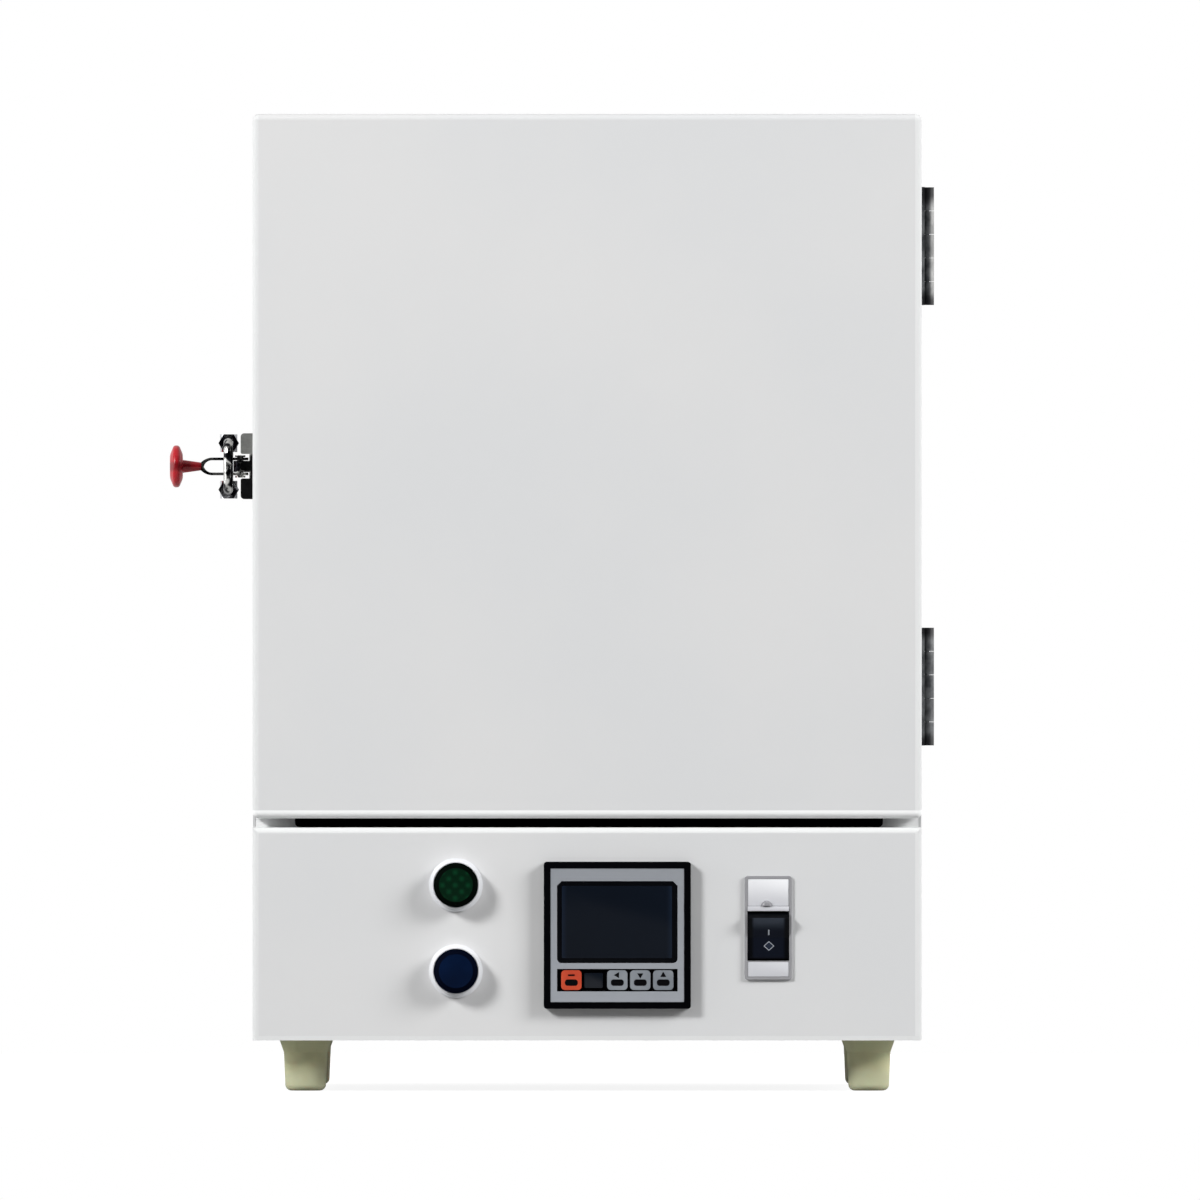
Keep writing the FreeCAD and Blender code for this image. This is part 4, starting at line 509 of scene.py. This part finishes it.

# %% [markdown]
# ## Hinge lacquer
# The hinges are black lacquer in soft blotches. The ends stay dark. The knuckles of the upper
# hinge carry a painted highlight, pale grey along their outer side; the lower hinge has hardly any
# of that.

# %% Hinge lacquer
lacquer = Finish("hinge_lacquer", Metallic=0.2, Specular_IOR_Level=0.2)
mottle = lacquer.noise(220.0, 4.0)
blotch = lacquer.noise(75.0, 3.0, 0.6).step(0.35, 0.65)
height = lacquer.axis("Z")
upper = height.step(0.516, 0.526) * (1 - height.step(0.574, 0.586))
lower = height.step(0.227, 0.237) * (1 - height.step(0.291, 0.301))
# Painted highlight along the knuckles' outer side: strong on the upper hinge, faint on the lower.
painted_knuckle_highlight = lacquer.axis("X").step(0.2462, 0.2488) * (0.5 + blotch * 0.4) * (0.12 + upper * 0.88)
dark = lacquer.blend(blotch, linear((58, 60, 63)), linear((112, 114, 116)))
dark = lacquer.blend((upper + lower).step(0.0, 1.0), linear((34, 34, 37)), dark)
lacquer.colour(lacquer.blend(painted_knuckle_highlight, dark, linear((186, 186, 184))))
lacquer.roughness(0.34 + mottle * 0.2)
lacquer.relief(mottle * 0.4 + blotch * 0.6, 0.0002, 0.5)
keep("hinge_metal", lacquer)

# %% [markdown]
# ## Plastics and rubber
# Moulded plastic has a fine spark texture; glossy pieces have almost none. One function makes the
# whole family from a colour, a darker twin, a gloss and a grain, because that is all that differs.
# Two of the family get more: the knob has a darker band painted across its middle, a painted
# shade, and the green lens shows the crossed prisms that are pressed into its back.

# %% Moulded finishes
MOULDED = {
    # slot: name, colour, darker twin, gloss, grain scale, grain depth, shine
    "red_plastic": ("knob_red", (190, 26, 38), (172, 18, 30), 0.26, 900, 0.00001, 0.3),
    "pale_plastic": ("pale_moulding", (232, 233, 236), (225, 226, 230), 0.38, 1400, 0.00004, 0.5),
    "green_plastic": ("lens_green", (7, 46, 26), (2, 24, 12), 0.34, 900, 0.00003, 0.04),
    "blue_plastic": ("lens_blue", (7, 24, 54), (4, 16, 40), 0.34, 900, 0.00003, 0.04),
    "black_plastic": ("black_moulding", (4, 4, 6), (2, 2, 4), 0.5, 1600, 0.00005, 0.02),
    "orange_rubber": ("key_orange", (218, 88, 54), (190, 68, 42), 0.6, 1200, 0.00004, 0.3),
    "grey_rubber": ("key_grey", (142, 147, 153), (120, 126, 133), 0.6, 1200, 0.00004, 0.3),
    "lamp_lens": ("lamp_smoke", (150, 150, 154), (128, 128, 134), 0.2, 800, 0.00003, 0.5),
}


def moulded(slot, name, colour, twin, gloss, grain_scale, grain_depth, shine):
    """A moulded plastic or rubber: two close colours, a grain and a gloss that drifts."""
    finish = Finish(name, Specular_IOR_Level=shine)
    patch = finish.noise(35.0, 3.0)
    grit = finish.noise(grain_scale, 3.0, 0.6)
    finish.colour(finish.blend(patch.step(0.3, 0.7), linear(colour), linear(twin)))
    finish.roughness(gloss + grit * 0.12)
    finish.relief(grit, grain_depth, 0.6)
    return keep(slot, finish)


family = {slot: moulded(slot, *recipe) for slot, recipe in MOULDED.items()}

# %% Painted shade band and prisms
KNOB_MIDDLE = 0.408
PRISM_SLOPE = 0.0042

knob = family["red_plastic"]
# A painted shade: a darker band across the knob's middle.
painted_shade_band = 1 - ((knob.axis("Z") - KNOB_MIDDLE) ** 2 * 60000.0).step(0.0, 1.0)
knob.colour(knob.blend(painted_shade_band * 0.75, linear((190, 26, 38)), linear((112, 8, 18))))

green = family["green_plastic"]
rising = green.maths("PINGPONG", green.axis("X") + green.axis("Z"), PRISM_SLOPE)
falling = green.maths("PINGPONG", green.axis("X") - green.axis("Z"), PRISM_SLOPE)
prisms = (rising * falling * 56000.0).step(0.05, 0.9)
green.colour(green.blend(prisms, linear((5, 31, 17)), linear((10, 54, 32))))
# The mould line in the print is this painted shade band.
print("mould line at", KNOB_MIDDLE, "m, prisms every", 2 * PRISM_SLOPE, "m")

# %% [markdown]
# ## Film, glass and foot rubber
# The controller's front is a brushed silver film, a little darker towards its top. The display's
# glass is nearly black. The feet are pale olive rubber with a little dust on them; their upper
# part is painted lighter than the lower, painted light against the shade that the cabinet casts on
# it.

# %% Silver film
film = Finish("silver_film", Metallic=0.25)
brush = film.noise(240.0, 3.0, 0.6, at=film.stretch(0.05, 1.0, 6.0))
shade = film.axis("Z").step(0.05, 0.15) * 0.6 + brush * 0.3
film.colour(film.blend(shade, linear((164, 168, 175)), linear((148, 152, 158))))
film.roughness(0.42 + brush * 0.12)
film.relief(brush, 0.00003, 0.4)
keep("silver_face", film)

# %% Display glass
lens = Finish("screen_lens", Specular_IOR_Level=0.15)
smear = lens.noise(40.0, 4.0, 0.6)
lens.colour(lens.blend(smear, linear((4, 5, 8)), linear((7, 8, 12))))
lens.roughness(0.08 + smear * 0.08)
lens.relief(lens.noise(900.0, 2.0), 0.00002, 0.2)
keep("screen_lens", lens)

# %% Foot rubber
rubber = Finish("foot_rubber", Specular_IOR_Level=0.25, Subsurface_Weight=0.1)
# Painted light: the upper part is painted lighter, against the shade under the cabinet.
painted_upper_light = rubber.axis("Z").step(0.008, 0.021)
dust = rubber.noise(120.0, 5.0, 0.65)
base = rubber.blend(painted_upper_light, linear((196, 196, 162)), linear((223, 223, 178)))
rubber.colour(rubber.blend(dust * 0.25, base, linear((172, 174, 142))))
rubber.roughness(0.6 + dust * 0.15)
rubber.relief(rubber.noise(800.0, 4.0), 0.0001, 0.5)
keep("foot_rubber", rubber)

# %% [markdown]
# ## Dress the nodes
# Each node's record entry names the slot of its finish, so one loop dresses them all. A few nodes
# have a finish of their own: the enamelled sheets with painted highlights on their bends, and the
# latch's castings.

# %% Dress
own_finish = {
    "door_skin": door_enamel,
    "control_panel": panel_enamel,
    "front_frame": frame_enamel,
    "latch_base": casting,
    "latch_handle": casting,
    "latch_hook": casting,
    "latch_pivot_pin": casting,
    "latch_nuts": nut_plating,
}
slot_of = {part["node"]: part["material_slot"] for part in frame["record"]["subparts"]}


def dress(name, material):
    nodes[name].material_slots[0].material = material


for name, slot in slot_of.items():
    dress(name, own_finish[name].material if name in own_finish else finishes[slot])
print("dressed", len(slot_of), "nodes with", len(set(slot_of.values())), "slots")

# %% [markdown]
# ## Tools for new pieces
# The pieces that the frame leaves plain are modelled here. Each starts as a small shape from one
# operator, gets its round corners and edges from bevels, and ends as an object that rides on a
# body. The helpers do the common work: a flat shape drawn out to a thickness, a plate with round
# corners, a shape turned about a line along Y, and the last step that makes an object of it.

# %% Helpers for pieces


def piece(name, shape, slot, body, finish=None, sharp=32.0):
    """A finished shape becomes an object with a slot's finish, which rides on a body."""
    bmesh.ops.recalc_face_normals(shape, faces=shape.faces)
    mesh = bpy.data.meshes.new(name)
    shape.to_mesh(mesh)
    shape.free()
    mesh.shade_smooth()
    mesh.set_sharp_from_angle(angle=math.radians(sharp))
    mesh.materials.append(finish.material if finish else finishes[slot])
    thing = bpy.data.objects.new(name, mesh)
    scene.collection.objects.link(thing)
    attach(thing, body)
    size = [round(v * 1000, 1) for v in thing.dimensions]
    print(f"{name}: {len(mesh.polygons)} faces, {size} mm, on {body}")
    return thing


def draw_out(shape, depth):
    """Draws a flat upright shape out towards the front."""
    raised = bmesh.ops.extrude_face_region(shape, geom=list(shape.faces))["geom"]
    top = [v for v in raised if isinstance(v, bmesh.types.BMVert)]
    bmesh.ops.translate(shape, vec=(0, -depth, 0), verts=top)


def plate(x0, x1, z0, z1, front, thick, corner=0.0, edge=0.0):
    """An upright plate with its front face at y = front, round corners and a soft front edge."""
    shape = bmesh.new()
    bmesh.ops.create_grid(shape, x_segments=1, y_segments=1, size=0.5)
    bmesh.ops.scale(shape, vec=(x1 - x0, z1 - z0, 1), verts=shape.verts)
    stand_up(shape)
    place = ((x0 + x1) / 2, front + thick, (z0 + z1) / 2)
    bmesh.ops.translate(shape, vec=place, verts=shape.verts)
    soften = {"profile": 0.5, "material": -1}
    if corner:
        soften.update(affect="VERTICES", segments=5)
        bmesh.ops.bevel(shape, geom=list(shape.verts), offset=corner, **soften)
    draw_out(shape, thick)
    if edge:
        rim = [e for e in shape.edges if all(v.co.y < front + thick / 2 for v in e.verts)]
        soften.update(affect="EDGES", segments=2)
        bmesh.ops.bevel(shape, geom=rim, offset=edge, **soften)
    return shape


def turned(profile, x, z):
    """A profile of (radius, y) corners turned about the line along Y through x and z."""
    shape = bmesh.new()
    line = [shape.verts.new((x + radius, y, z)) for radius, y in profile]
    edges = [shape.edges.new(pair) for pair in zip(line, line[1:])]
    turn = {"cent": (x, 0, z), "axis": (0, 1, 0), "angle": math.tau, "use_merge": True}
    bmesh.ops.spin(shape, geom=line + edges, steps=72, **turn)
    bmesh.ops.remove_doubles(shape, verts=shape.verts, dist=1e-6)
    return shape


def mm(*values):
    """Millimetres to metres."""
    return [v / 1000 for v in values]


# %% [markdown]
# ## Painted shadow in the gap under the door
# Between the door and the control panel a black strip fills the joint, a painted shadow that
# stands for the shade deep in the gap. It is a flat extruded strip with round ends, fixed to the
# front frame, a little shorter than the cabinet is wide, so that the enamel's painted light shows
# at both ends of the gap.

# %% Painted shadow strip
SHADOW_STRIP_HEIGHT, SHADOW_STRIP_THICK = 0.0085, 0.002
BARE_LEFT, BARE_RIGHT = 0.0257, 0.0234

low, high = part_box("front_frame")
ends = (low.x + BARE_LEFT, high.x - BARE_RIGHT)
front = low.y - SHADOW_STRIP_THICK
# A dark strip where there is only shade: a painted shadow.
shape = plate(*ends, low.z, low.z + SHADOW_STRIP_HEIGHT, front, SHADOW_STRIP_THICK, 0.003, 0.0006)
piece("gap_shadow_strip", shape, "black_plastic", "cabinet")

# %% [markdown]
# ## Pushbuttons
# Each button is a clear coloured lens in a dark rim. The rim is the moving cap from the frame,
# painted nearly black: a painted dark reflection on its sloping face. The lens is new: a shallow
# dome, turned on a lathe, seated in the rim's face. The green one also has low pyramids on its
# face, over the prisms of its back; the blue one is plain.

# %% Pushbuttons
PAINTED_DARK_RIMS = {"green": ((4, 9, 6), (2, 5, 3)), "blue": ((5, 9, 26), (3, 6, 18))}
LENS_RADIUS, SEATED, PROUD, SWELL = 0.0111, 0.0004, 0.0001, 0.0004
RINGS = 12
PYRAMID, PYRAMID_DEPTH = 0.0052, 0.0002

for name, (near, far) in PAINTED_DARK_RIMS.items():
    # Painted reflection: the rims are painted nearly black.
    rim = Finish(f"rim_{name}", Specular_IOR_Level=0.01, Roughness=0.6)
    rim.colour(rim.blend(rim.noise(200.0, 3.0), linear(near), linear(far)))
    rim.relief(rim.noise(1200.0, 3.0), 0.00004, 0.5)
    dress(f"{name}_button_cap", rim.material)
    low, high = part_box(f"{name}_button_cap")
    x, z = (low.x + high.x) / 2, (low.z + high.z) / 2
    brim = low.y - PROUD
    dome = [(LENS_RADIUS, low.y + SEATED), (LENS_RADIUS, brim)]
    for i in range(1, RINGS + 1):
        share = 1 - i / RINGS
        dome.append((LENS_RADIUS * share, brim - SWELL * (1 - share**2)))
    shape = turned(dome, x, z)
    if name == "green":
        for vertex in shape.verts:
            across, up = (vertex.co.x - x) / PYRAMID, (vertex.co.z - z) / PYRAMID
            if math.hypot(across, up) < 1.9 and vertex.co.y < low.y:
                ridge = abs((across + up) % 1 - 0.5) + abs((across - up) % 1 - 0.5)
                vertex.co.y += PYRAMID_DEPTH * ridge
    piece(f"{name}_lens", shape, f"{name}_plastic", f"{name}_button", sharp=60)

# %% [markdown]
# ## Controller front
# The display window is black glass. Its middle shines navy, paler at both sides, and that is a
# thin pane laid a hair in front of the glass. Left of the middle of the key strip is a small dim
# window for status lights.

# %% Display pane
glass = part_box("controller_screen")[0].y
pane = Finish("pane_navy", Specular_IOR_Level=0.05, Roughness=0.2)
side = pane.axis("X")
edges = 1 - side.step(0.0066, 0.0105) * (1 - side.step(0.0745, 0.0785))
cloud = pane.noise(30.0, 3.0)
pane.colour(pane.blend(edges * 0.7 + cloud * 0.2, linear((14, 19, 27)), linear((24, 33, 48))))
pane.relief(pane.noise(900.0, 2.0), 0.00002, 0.3)
shape = plate(*mm(6.6, 78.5, 86.8, 133.9), glass - 0.00008, 0.0003, 0.0009, 0.00005)
piece("display_pane", shape, "screen_lens", "cabinet", pane)

# %% Status window
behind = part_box("controller_face")[1].y
dim = Finish("dim_window", Specular_IOR_Level=0.2, Roughness=0.3)
dim.colour(dim.blend(dim.noise(160.0, 2.0), linear((9, 14, 22)), linear((14, 20, 29))))
shape = plate(*mm(21.3, 33.4, 67.3, 77.1), behind - 0.0005, 0.0006, 0.001, 0.0002)
piece("status_window", shape, "screen_lens", "cabinet", dim)

# %% [markdown]
# The keys are soft pads in a black strip, each printed with a dark bar and a small sign: a short
# dash for set, and arrows for shift, down and up. Prints are thin raised plates here, because real
# ink stands up a little and catches the light at its edges.

# %% Key prints
PRINT = 0.00006
ARROW = 0.0023
KEY_TURNS = {"key_set": None, "key_shift": 90, "key_down": 180, "key_up": 0}

ink = Finish("print_ink", Specular_IOR_Level=0.04)
ink.colour(ink.blend(ink.noise(500.0, 3.0), linear((3, 3, 5)), linear((7, 7, 9))))
ink.roughness(0.5 + ink.noise(700.0, 2.0) * 0.15)


def print_plate(x, z, half_width, half_height, front, corner):
    """A printed mark with its middle at x and z."""
    sides = (x - half_width, x + half_width, z - half_height, z + half_height)
    return plate(*sides, front - PRINT, 2 * PRINT, corner)


def arrow(x, z, front, turn):
    """A small printed triangle that points up, turned by that many degrees."""
    shape = bmesh.new()
    bmesh.ops.create_circle(shape, cap_ends=True, segments=3, radius=ARROW)
    bmesh.ops.rotate(shape, matrix=Matrix.Rotation(math.radians(turn), 3, "Z"), verts=shape.verts)
    stand_up(shape)
    bmesh.ops.translate(shape, vec=(x, front + PRINT, z), verts=shape.verts)
    draw_out(shape, 2 * PRINT)
    return shape


for key, turn in KEY_TURNS.items():
    low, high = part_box(key)
    x, z = (low.x + high.x) / 2, (low.z + high.z) / 2 - 0.0016
    bar = print_plate(x, z, 0.0042, 0.0021, low.y, 0.0018)
    piece(f"{key}_bar", bar, "black_plastic", key, ink)
    if turn is None:
        mark = print_plate(x, z + 0.00485, 0.0022, 0.00055, low.y, 0.0002)
    else:
        mark = arrow(x, z + 0.0049, low.y, turn)
    piece(f"{key}_sign", mark, "black_plastic", key, ink)

# %% [markdown]
# ## Power switch
# The switch sits in a grey plate. Two white label plates lie in its shallow recesses, and a white
# ledge stands out over the rocker, under the half-round pilot lamp. The white greys towards the
# ledge and stays so below it, where less light comes in.

# %% Switch plate
RECESS, LEDGE = -0.271, -0.2724  # the floor of the recesses and the ledge's front, along Y
LABELS = {"upper": (120.9, 138.3), "lower": (74.7, 84.2)}

grey_plate = Finish("switch_grey", Specular_IOR_Level=0.3)
patch = grey_plate.noise(60.0, 3.0)
grey_plate.colour(grey_plate.blend(patch, linear((158, 158, 161)), linear((148, 148, 152))))
grey_plate.roughness(0.45 + patch * 0.1)
grey_plate.relief(grey_plate.noise(1400.0, 3.0), 0.00004, 0.5)
dress("switch_plate", grey_plate.material)

card_white = Finish("label_white", Specular_IOR_Level=0.3)
fade = card_white.axis("Z").step(0.1185, 0.1385)
card_white.colour(card_white.blend(fade, linear((216, 217, 222)), linear((244, 245, 248))))
card_white.roughness(0.4 + card_white.noise(90.0, 3.0) * 0.12)
card_white.relief(card_white.noise(1100.0, 3.0), 0.00003, 0.5)
for name, (bottom, top) in LABELS.items():
    shape = plate(*mm(128.2, 154.6, bottom, top), RECESS - 0.0004, 0.0004, 0.0004, 0.00012)
    piece(f"switch_label_{name}", shape, "pale_plastic", "cabinet", card_white)
shape = plate(*mm(128.0, 154.8, 117.4, 120.6), LEDGE, 0.001, 0.0005, 0.0004)
piece("switch_ledge", shape, "pale_plastic", "cabinet", card_white)

# %% [markdown]
# The rocker is a slate-coloured window in a black border, and the window's edge is a small step
# that a bump can carry. The border's top is a painted shadow under the plate's edge, and the top
# of the window is painted paler, a painted reflection. It has two facets that meet at its kink. It
# carries the usual signs: a bar for on, on the upper facet, and a small outlined diamond on the
# lower one. A sign is made flat at the origin, then tilted and moved onto its facet.

# %% Rocker finish
rocker = Finish("rocker_slate", Specular_IOR_Level=0.05)
height = rocker.axis("Z")
middle = rocker.axis("X").step(0.1302, 0.1325) * (1 - rocker.axis("X").step(0.1505, 0.1528))
# Above the window the border is a painted shadow under the plate's edge.
window = middle * height.step(0.0855, 0.0885) * (1 - height.step(0.1125, 0.1132))
# The window's top is painted paler: a painted reflection.
painted_window_reflection = window * height.step(0.104, 0.1125) * (0.4 + rocker.noise(90.0, 2.0))
slate = rocker.blend(window, linear((4, 5, 8)), linear((14, 18, 28)))
rocker.colour(rocker.blend(painted_window_reflection, slate, linear((58, 64, 74))))
rocker.roughness(0.35 + rocker.noise(240.0, 3.0) * 0.15)
rocker.relief(window + rocker.noise(1300.0, 3.0) * 0.1, 0.0002, 0.5)
dress("power_rocker", rocker.material)
print("rocker:", len(rocker.tree.nodes), "shader nodes")

# %% Rocker signs
KINK_Y, KINK_Z = -0.2714, 0.1002
UPPER_TILT = math.atan2(5.1, 12.5)
LOWER_TILT = -math.atan2(0.5, 13.6)
DIAMOND_HEIGHT = 0.89

sign = Finish("sign_grey", Specular_IOR_Level=0.2)
sign.colour(sign.blend(sign.noise(700.0, 3.0), linear((176, 182, 190)), linear((150, 156, 166))))
sign.roughness(0.5 + sign.noise(500.0, 2.0) * 0.1)
inlay = Finish("sign_slate", Specular_IOR_Level=0.1)
inlay.colour(inlay.blend(inlay.noise(600.0, 3.0), linear((36, 44, 60)), linear((26, 33, 46))))
inlay.roughness(0.5 + inlay.noise(500.0, 2.0) * 0.1)


def lay_on_rocker(shape, x, z):
    """Moves a flat sign from the XZ plane at the origin onto the rocker's facet at height z."""
    tilt = UPPER_TILT if z > KINK_Z else LOWER_TILT
    y = KINK_Y - (z - KINK_Z) * math.tan(tilt)
    bmesh.ops.rotate(shape, matrix=Matrix.Rotation(tilt, 3, "X"), verts=shape.verts)
    bmesh.ops.translate(shape, vec=(x, y, z), verts=shape.verts)
    return shape


def diamond(radius, line):
    """An upright diamond of that radius; with a line width, only its outline."""
    shape = bmesh.new()
    bmesh.ops.create_circle(shape, cap_ends=True, segments=4, radius=radius)
    bmesh.ops.scale(shape, vec=(1, DIAMOND_HEIGHT, 1), verts=shape.verts)
    if line:
        inset = {"thickness": line, "use_boundary": True}
        bmesh.ops.inset_region(shape, faces=list(shape.faces), **inset)
        inner = min(shape.faces, key=lambda f: f.calc_center_median().length)
        bmesh.ops.delete(shape, geom=[inner], context="FACES")
    stand_up(shape)
    bmesh.ops.solidify(shape, geom=list(shape.faces), thickness=0.00012)
    bmesh.ops.translate(shape, vec=(0, -0.0001, 0), verts=shape.verts)
    return shape


bar = plate(*mm(-0.45, 0.45, -1.9, 1.9), -0.00012, 0.0002, 0.0002)
bar = lay_on_rocker(bar, 0.1417, 0.1036)
piece("rocker_bar", bar, "pale_plastic", "power_rocker", sign)
for name, radius, line, finish in (("outline", 3.5, 0.6, sign), ("inlay", 2.45, 0.0, inlay)):
    shape = lay_on_rocker(diamond(*mm(radius, line)), 0.1418, 0.0947)
    piece(f"rocker_{name}", shape, "pale_plastic", "power_rocker", finish)

# %% [markdown]
# ## Keeper
# The keeper on the door's side is a block with two ears of one metal. The upper ear is painted a
# speckled light grey, a painted reflection of the light above, and the lower one and the post
# between them are painted nearly black, a painted reflection of the dark below.

# %% Keeper finish
EAR_LINE = (0.4145, 0.4165)

block = Finish("keeper_block", Metallic=0.85)
# Painted reflections: light grey above the ear line, nearly black below it.
upper = block.axis("Z").step(*EAR_LINE)
speck = block.noise(350.0, 4.0, 0.6)
pale = block.blend(speck, linear((176, 177, 174)), linear((120, 121, 118)))
block.colour(block.blend(upper, linear((20, 20, 22)), pale))
block.roughness(0.32 + speck * 0.2)
block.relief(block.noise(180.0, 2.0) + speck * 0.2, 0.0008, 0.5)
dress("latch_keeper", block.material)
print("keeper:", len(block.tree.nodes), "shader nodes")

# %% [markdown]
# ## Heating coils
# The heating wire isn't a rod: it is wound into a tight coil, and the coil lies in the grooves of
# the side plates, to and fro. The frame's node gives the run, so the coil's centre line repeats
# it: straight runs joined by half circles. A point that walks along that line and round it at the
# same time draws the helix, and a curve with a thin bevel turns it into wire. Straight rods lead
# both ends out through the rear wall.

# %% Heating coils
RUNS, RISE = 6, 0.034
WIRE, COIL, PITCH = 0.00035, 0.0024, 0.0023
LEAD_RADIUS, LEAD_START, COIL_END = 0.0016, 0.100, 0.108
LINE_STEP = 0.002
BEND_STEPS = 24
TURN_STEPS = 10


def run_line(start_z, near, far):
    """Points of the to-and-fro line as (y, z), on its straight runs and round its bends."""
    line = []
    for i in range(RUNS):
        z = start_z + RISE * i
        back = COIL_END if i in (0, RUNS - 1) else far
        start, stop = (back, near) if i % 2 == 0 else (near, back)
        count = max(1, round(abs(stop - start) / LINE_STEP))
        line += [(start + (stop - start) * k / count, z) for k in range(count + 1)]
        if i < RUNS - 1:
            way, middle = (-1, near) if i % 2 == 0 else (1, far)
            for k in range(1, BEND_STEPS):
                angle = math.pi * k / BEND_STEPS
                y = middle + way * RISE / 2 * math.sin(angle)
                line.append((y, z + RISE / 2 * (1 - math.cos(angle))))
    return line


def helix(x, line):
    """Points of a coil along the line."""
    points, walked, last = [], 0.0, 0.0
    for (y0, z0), (y1, z1) in zip(line, line[1:]):
        reach = math.hypot(y1 - y0, z1 - z0)
        if reach < 1e-9:
            continue
        ty, tz = (y1 - y0) / reach, (z1 - z0) / reach
        while last <= walked + reach:
            along = last - walked
            turn = math.tau * last / PITCH
            side, lift = COIL * math.cos(turn), COIL * math.sin(turn)
            points.append((x + side, y0 + ty * along - tz * lift, z0 + tz * along + ty * lift))
            last += PITCH / TURN_STEPS
        walked += reach
    return points


def wire_mesh(points):
    """The mesh of a thin wire through the points."""
    curve = bpy.data.curves.new("coil", "CURVE")
    curve.dimensions = "3D"
    curve.bevel_depth = WIRE
    curve.bevel_resolution = 0
    spline = curve.splines.new("POLY")
    spline.points.add(len(points) - 1)
    for point, place in zip(spline.points, points):
        point.co = (*place, 1)
    holder = bpy.data.objects.new("coil", curve)
    scene.collection.objects.link(holder)
    depsgraph = bpy.context.evaluated_depsgraph_get()
    mesh = bpy.data.meshes.new_from_object(holder.evaluated_get(depsgraph))
    bpy.data.objects.remove(holder)
    return mesh


for side in ("left", "right"):
    node = f"heating_element_{side}"
    low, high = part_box(node)
    x, rod = (low.x + high.x) / 2, (high.x - low.x) / 2
    first, last = low.z + rod, high.z - rod
    near = low.y + rod + RISE / 2
    rear_bend = first + 1.5 * RISE
    ys = [v.co.y for v in nodes[node].data.vertices if abs(v.co.z - rear_bend) < 0.003]
    far = max(ys) - rod - RISE / 2
    shape = bmesh.new()
    shape.from_mesh(wire_mesh(helix(x, run_line(first, near, far))))
    lead = {"radius1": LEAD_RADIUS, "radius2": LEAD_RADIUS, "depth": high.y - LEAD_START}
    for z in (first, last):
        place = Matrix.Translation((x, (LEAD_START + high.y) / 2, z))
        place @= Matrix.Rotation(math.radians(90), 4, "X")
        bmesh.ops.create_cone(shape, cap_ends=True, segments=20, matrix=place, **lead)
    coil = piece(f"heating_coil_{side}", shape, "element_wire", "cabinet", sharp=50)
    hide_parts(node)

# %% [markdown]
# ## Door gasket
# The seal on the door is a plaited fibre tape laid in a square. The tape is a fine grid whose
# columns follow the square's rounded path and whose rows go across it; a formula lifts each point
# so that the strands of the plait run up and over each other.

# %% Gasket
WIDTH, BEND = 0.0118, 0.016
LENGTHWISE, ACROSS = 1400, 18
STRANDS, SLANT = 150, 1.1

low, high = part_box("door_gasket")
half = (high.x - low.x) / 2 - WIDTH / 2
middle_x, middle_z = (low.x + high.x) / 2, (low.z + high.z) / 2
straight, quarter = 2 * (half - BEND), math.pi / 2 * BEND
around = 4 * (straight + quarter)
thick = high.y - low.y


def on_square(along, out):
    """The point that far along the rounded square, and that far outside its centre line."""
    side, rest = divmod(along % around, straight + quarter)
    if rest < straight:
        x, z = -straight / 2 + rest, half + out
    else:
        angle = (rest - straight) / BEND
        x = straight / 2 + (BEND + out) * math.sin(angle)
        z = straight / 2 + (BEND + out) * math.cos(angle)
    for _ in range(int(side)):
        x, z = z, -x
    return middle_x + x, middle_z + z


shape = bmesh.new()
bmesh.ops.create_grid(shape, x_segments=LENGTHWISE, y_segments=ACROSS, size=0.5)
for vertex in shape.verts:
    along, across = (vertex.co.x + 0.5) * around, vertex.co.y * 2
    plait = abs(math.sin(math.pi * (along / around * STRANDS + abs(across) * SLANT)))
    strand = 0.72 + 0.28 * plait**0.6
    crown = max(0.0, 1 - abs(across) ** 6) ** 0.5
    groove = 1 - 0.12 * (1 - abs(across)) ** 3
    x, z = on_square(along, across * WIDTH / 2)
    vertex.co = (x, low.y + thick * crown * strand * groove, z)
bmesh.ops.remove_doubles(shape, verts=shape.verts, dist=1e-6)
gasket = piece("gasket_plait", shape, "seal_rope", "door", sharp=80)
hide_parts("door_gasket")
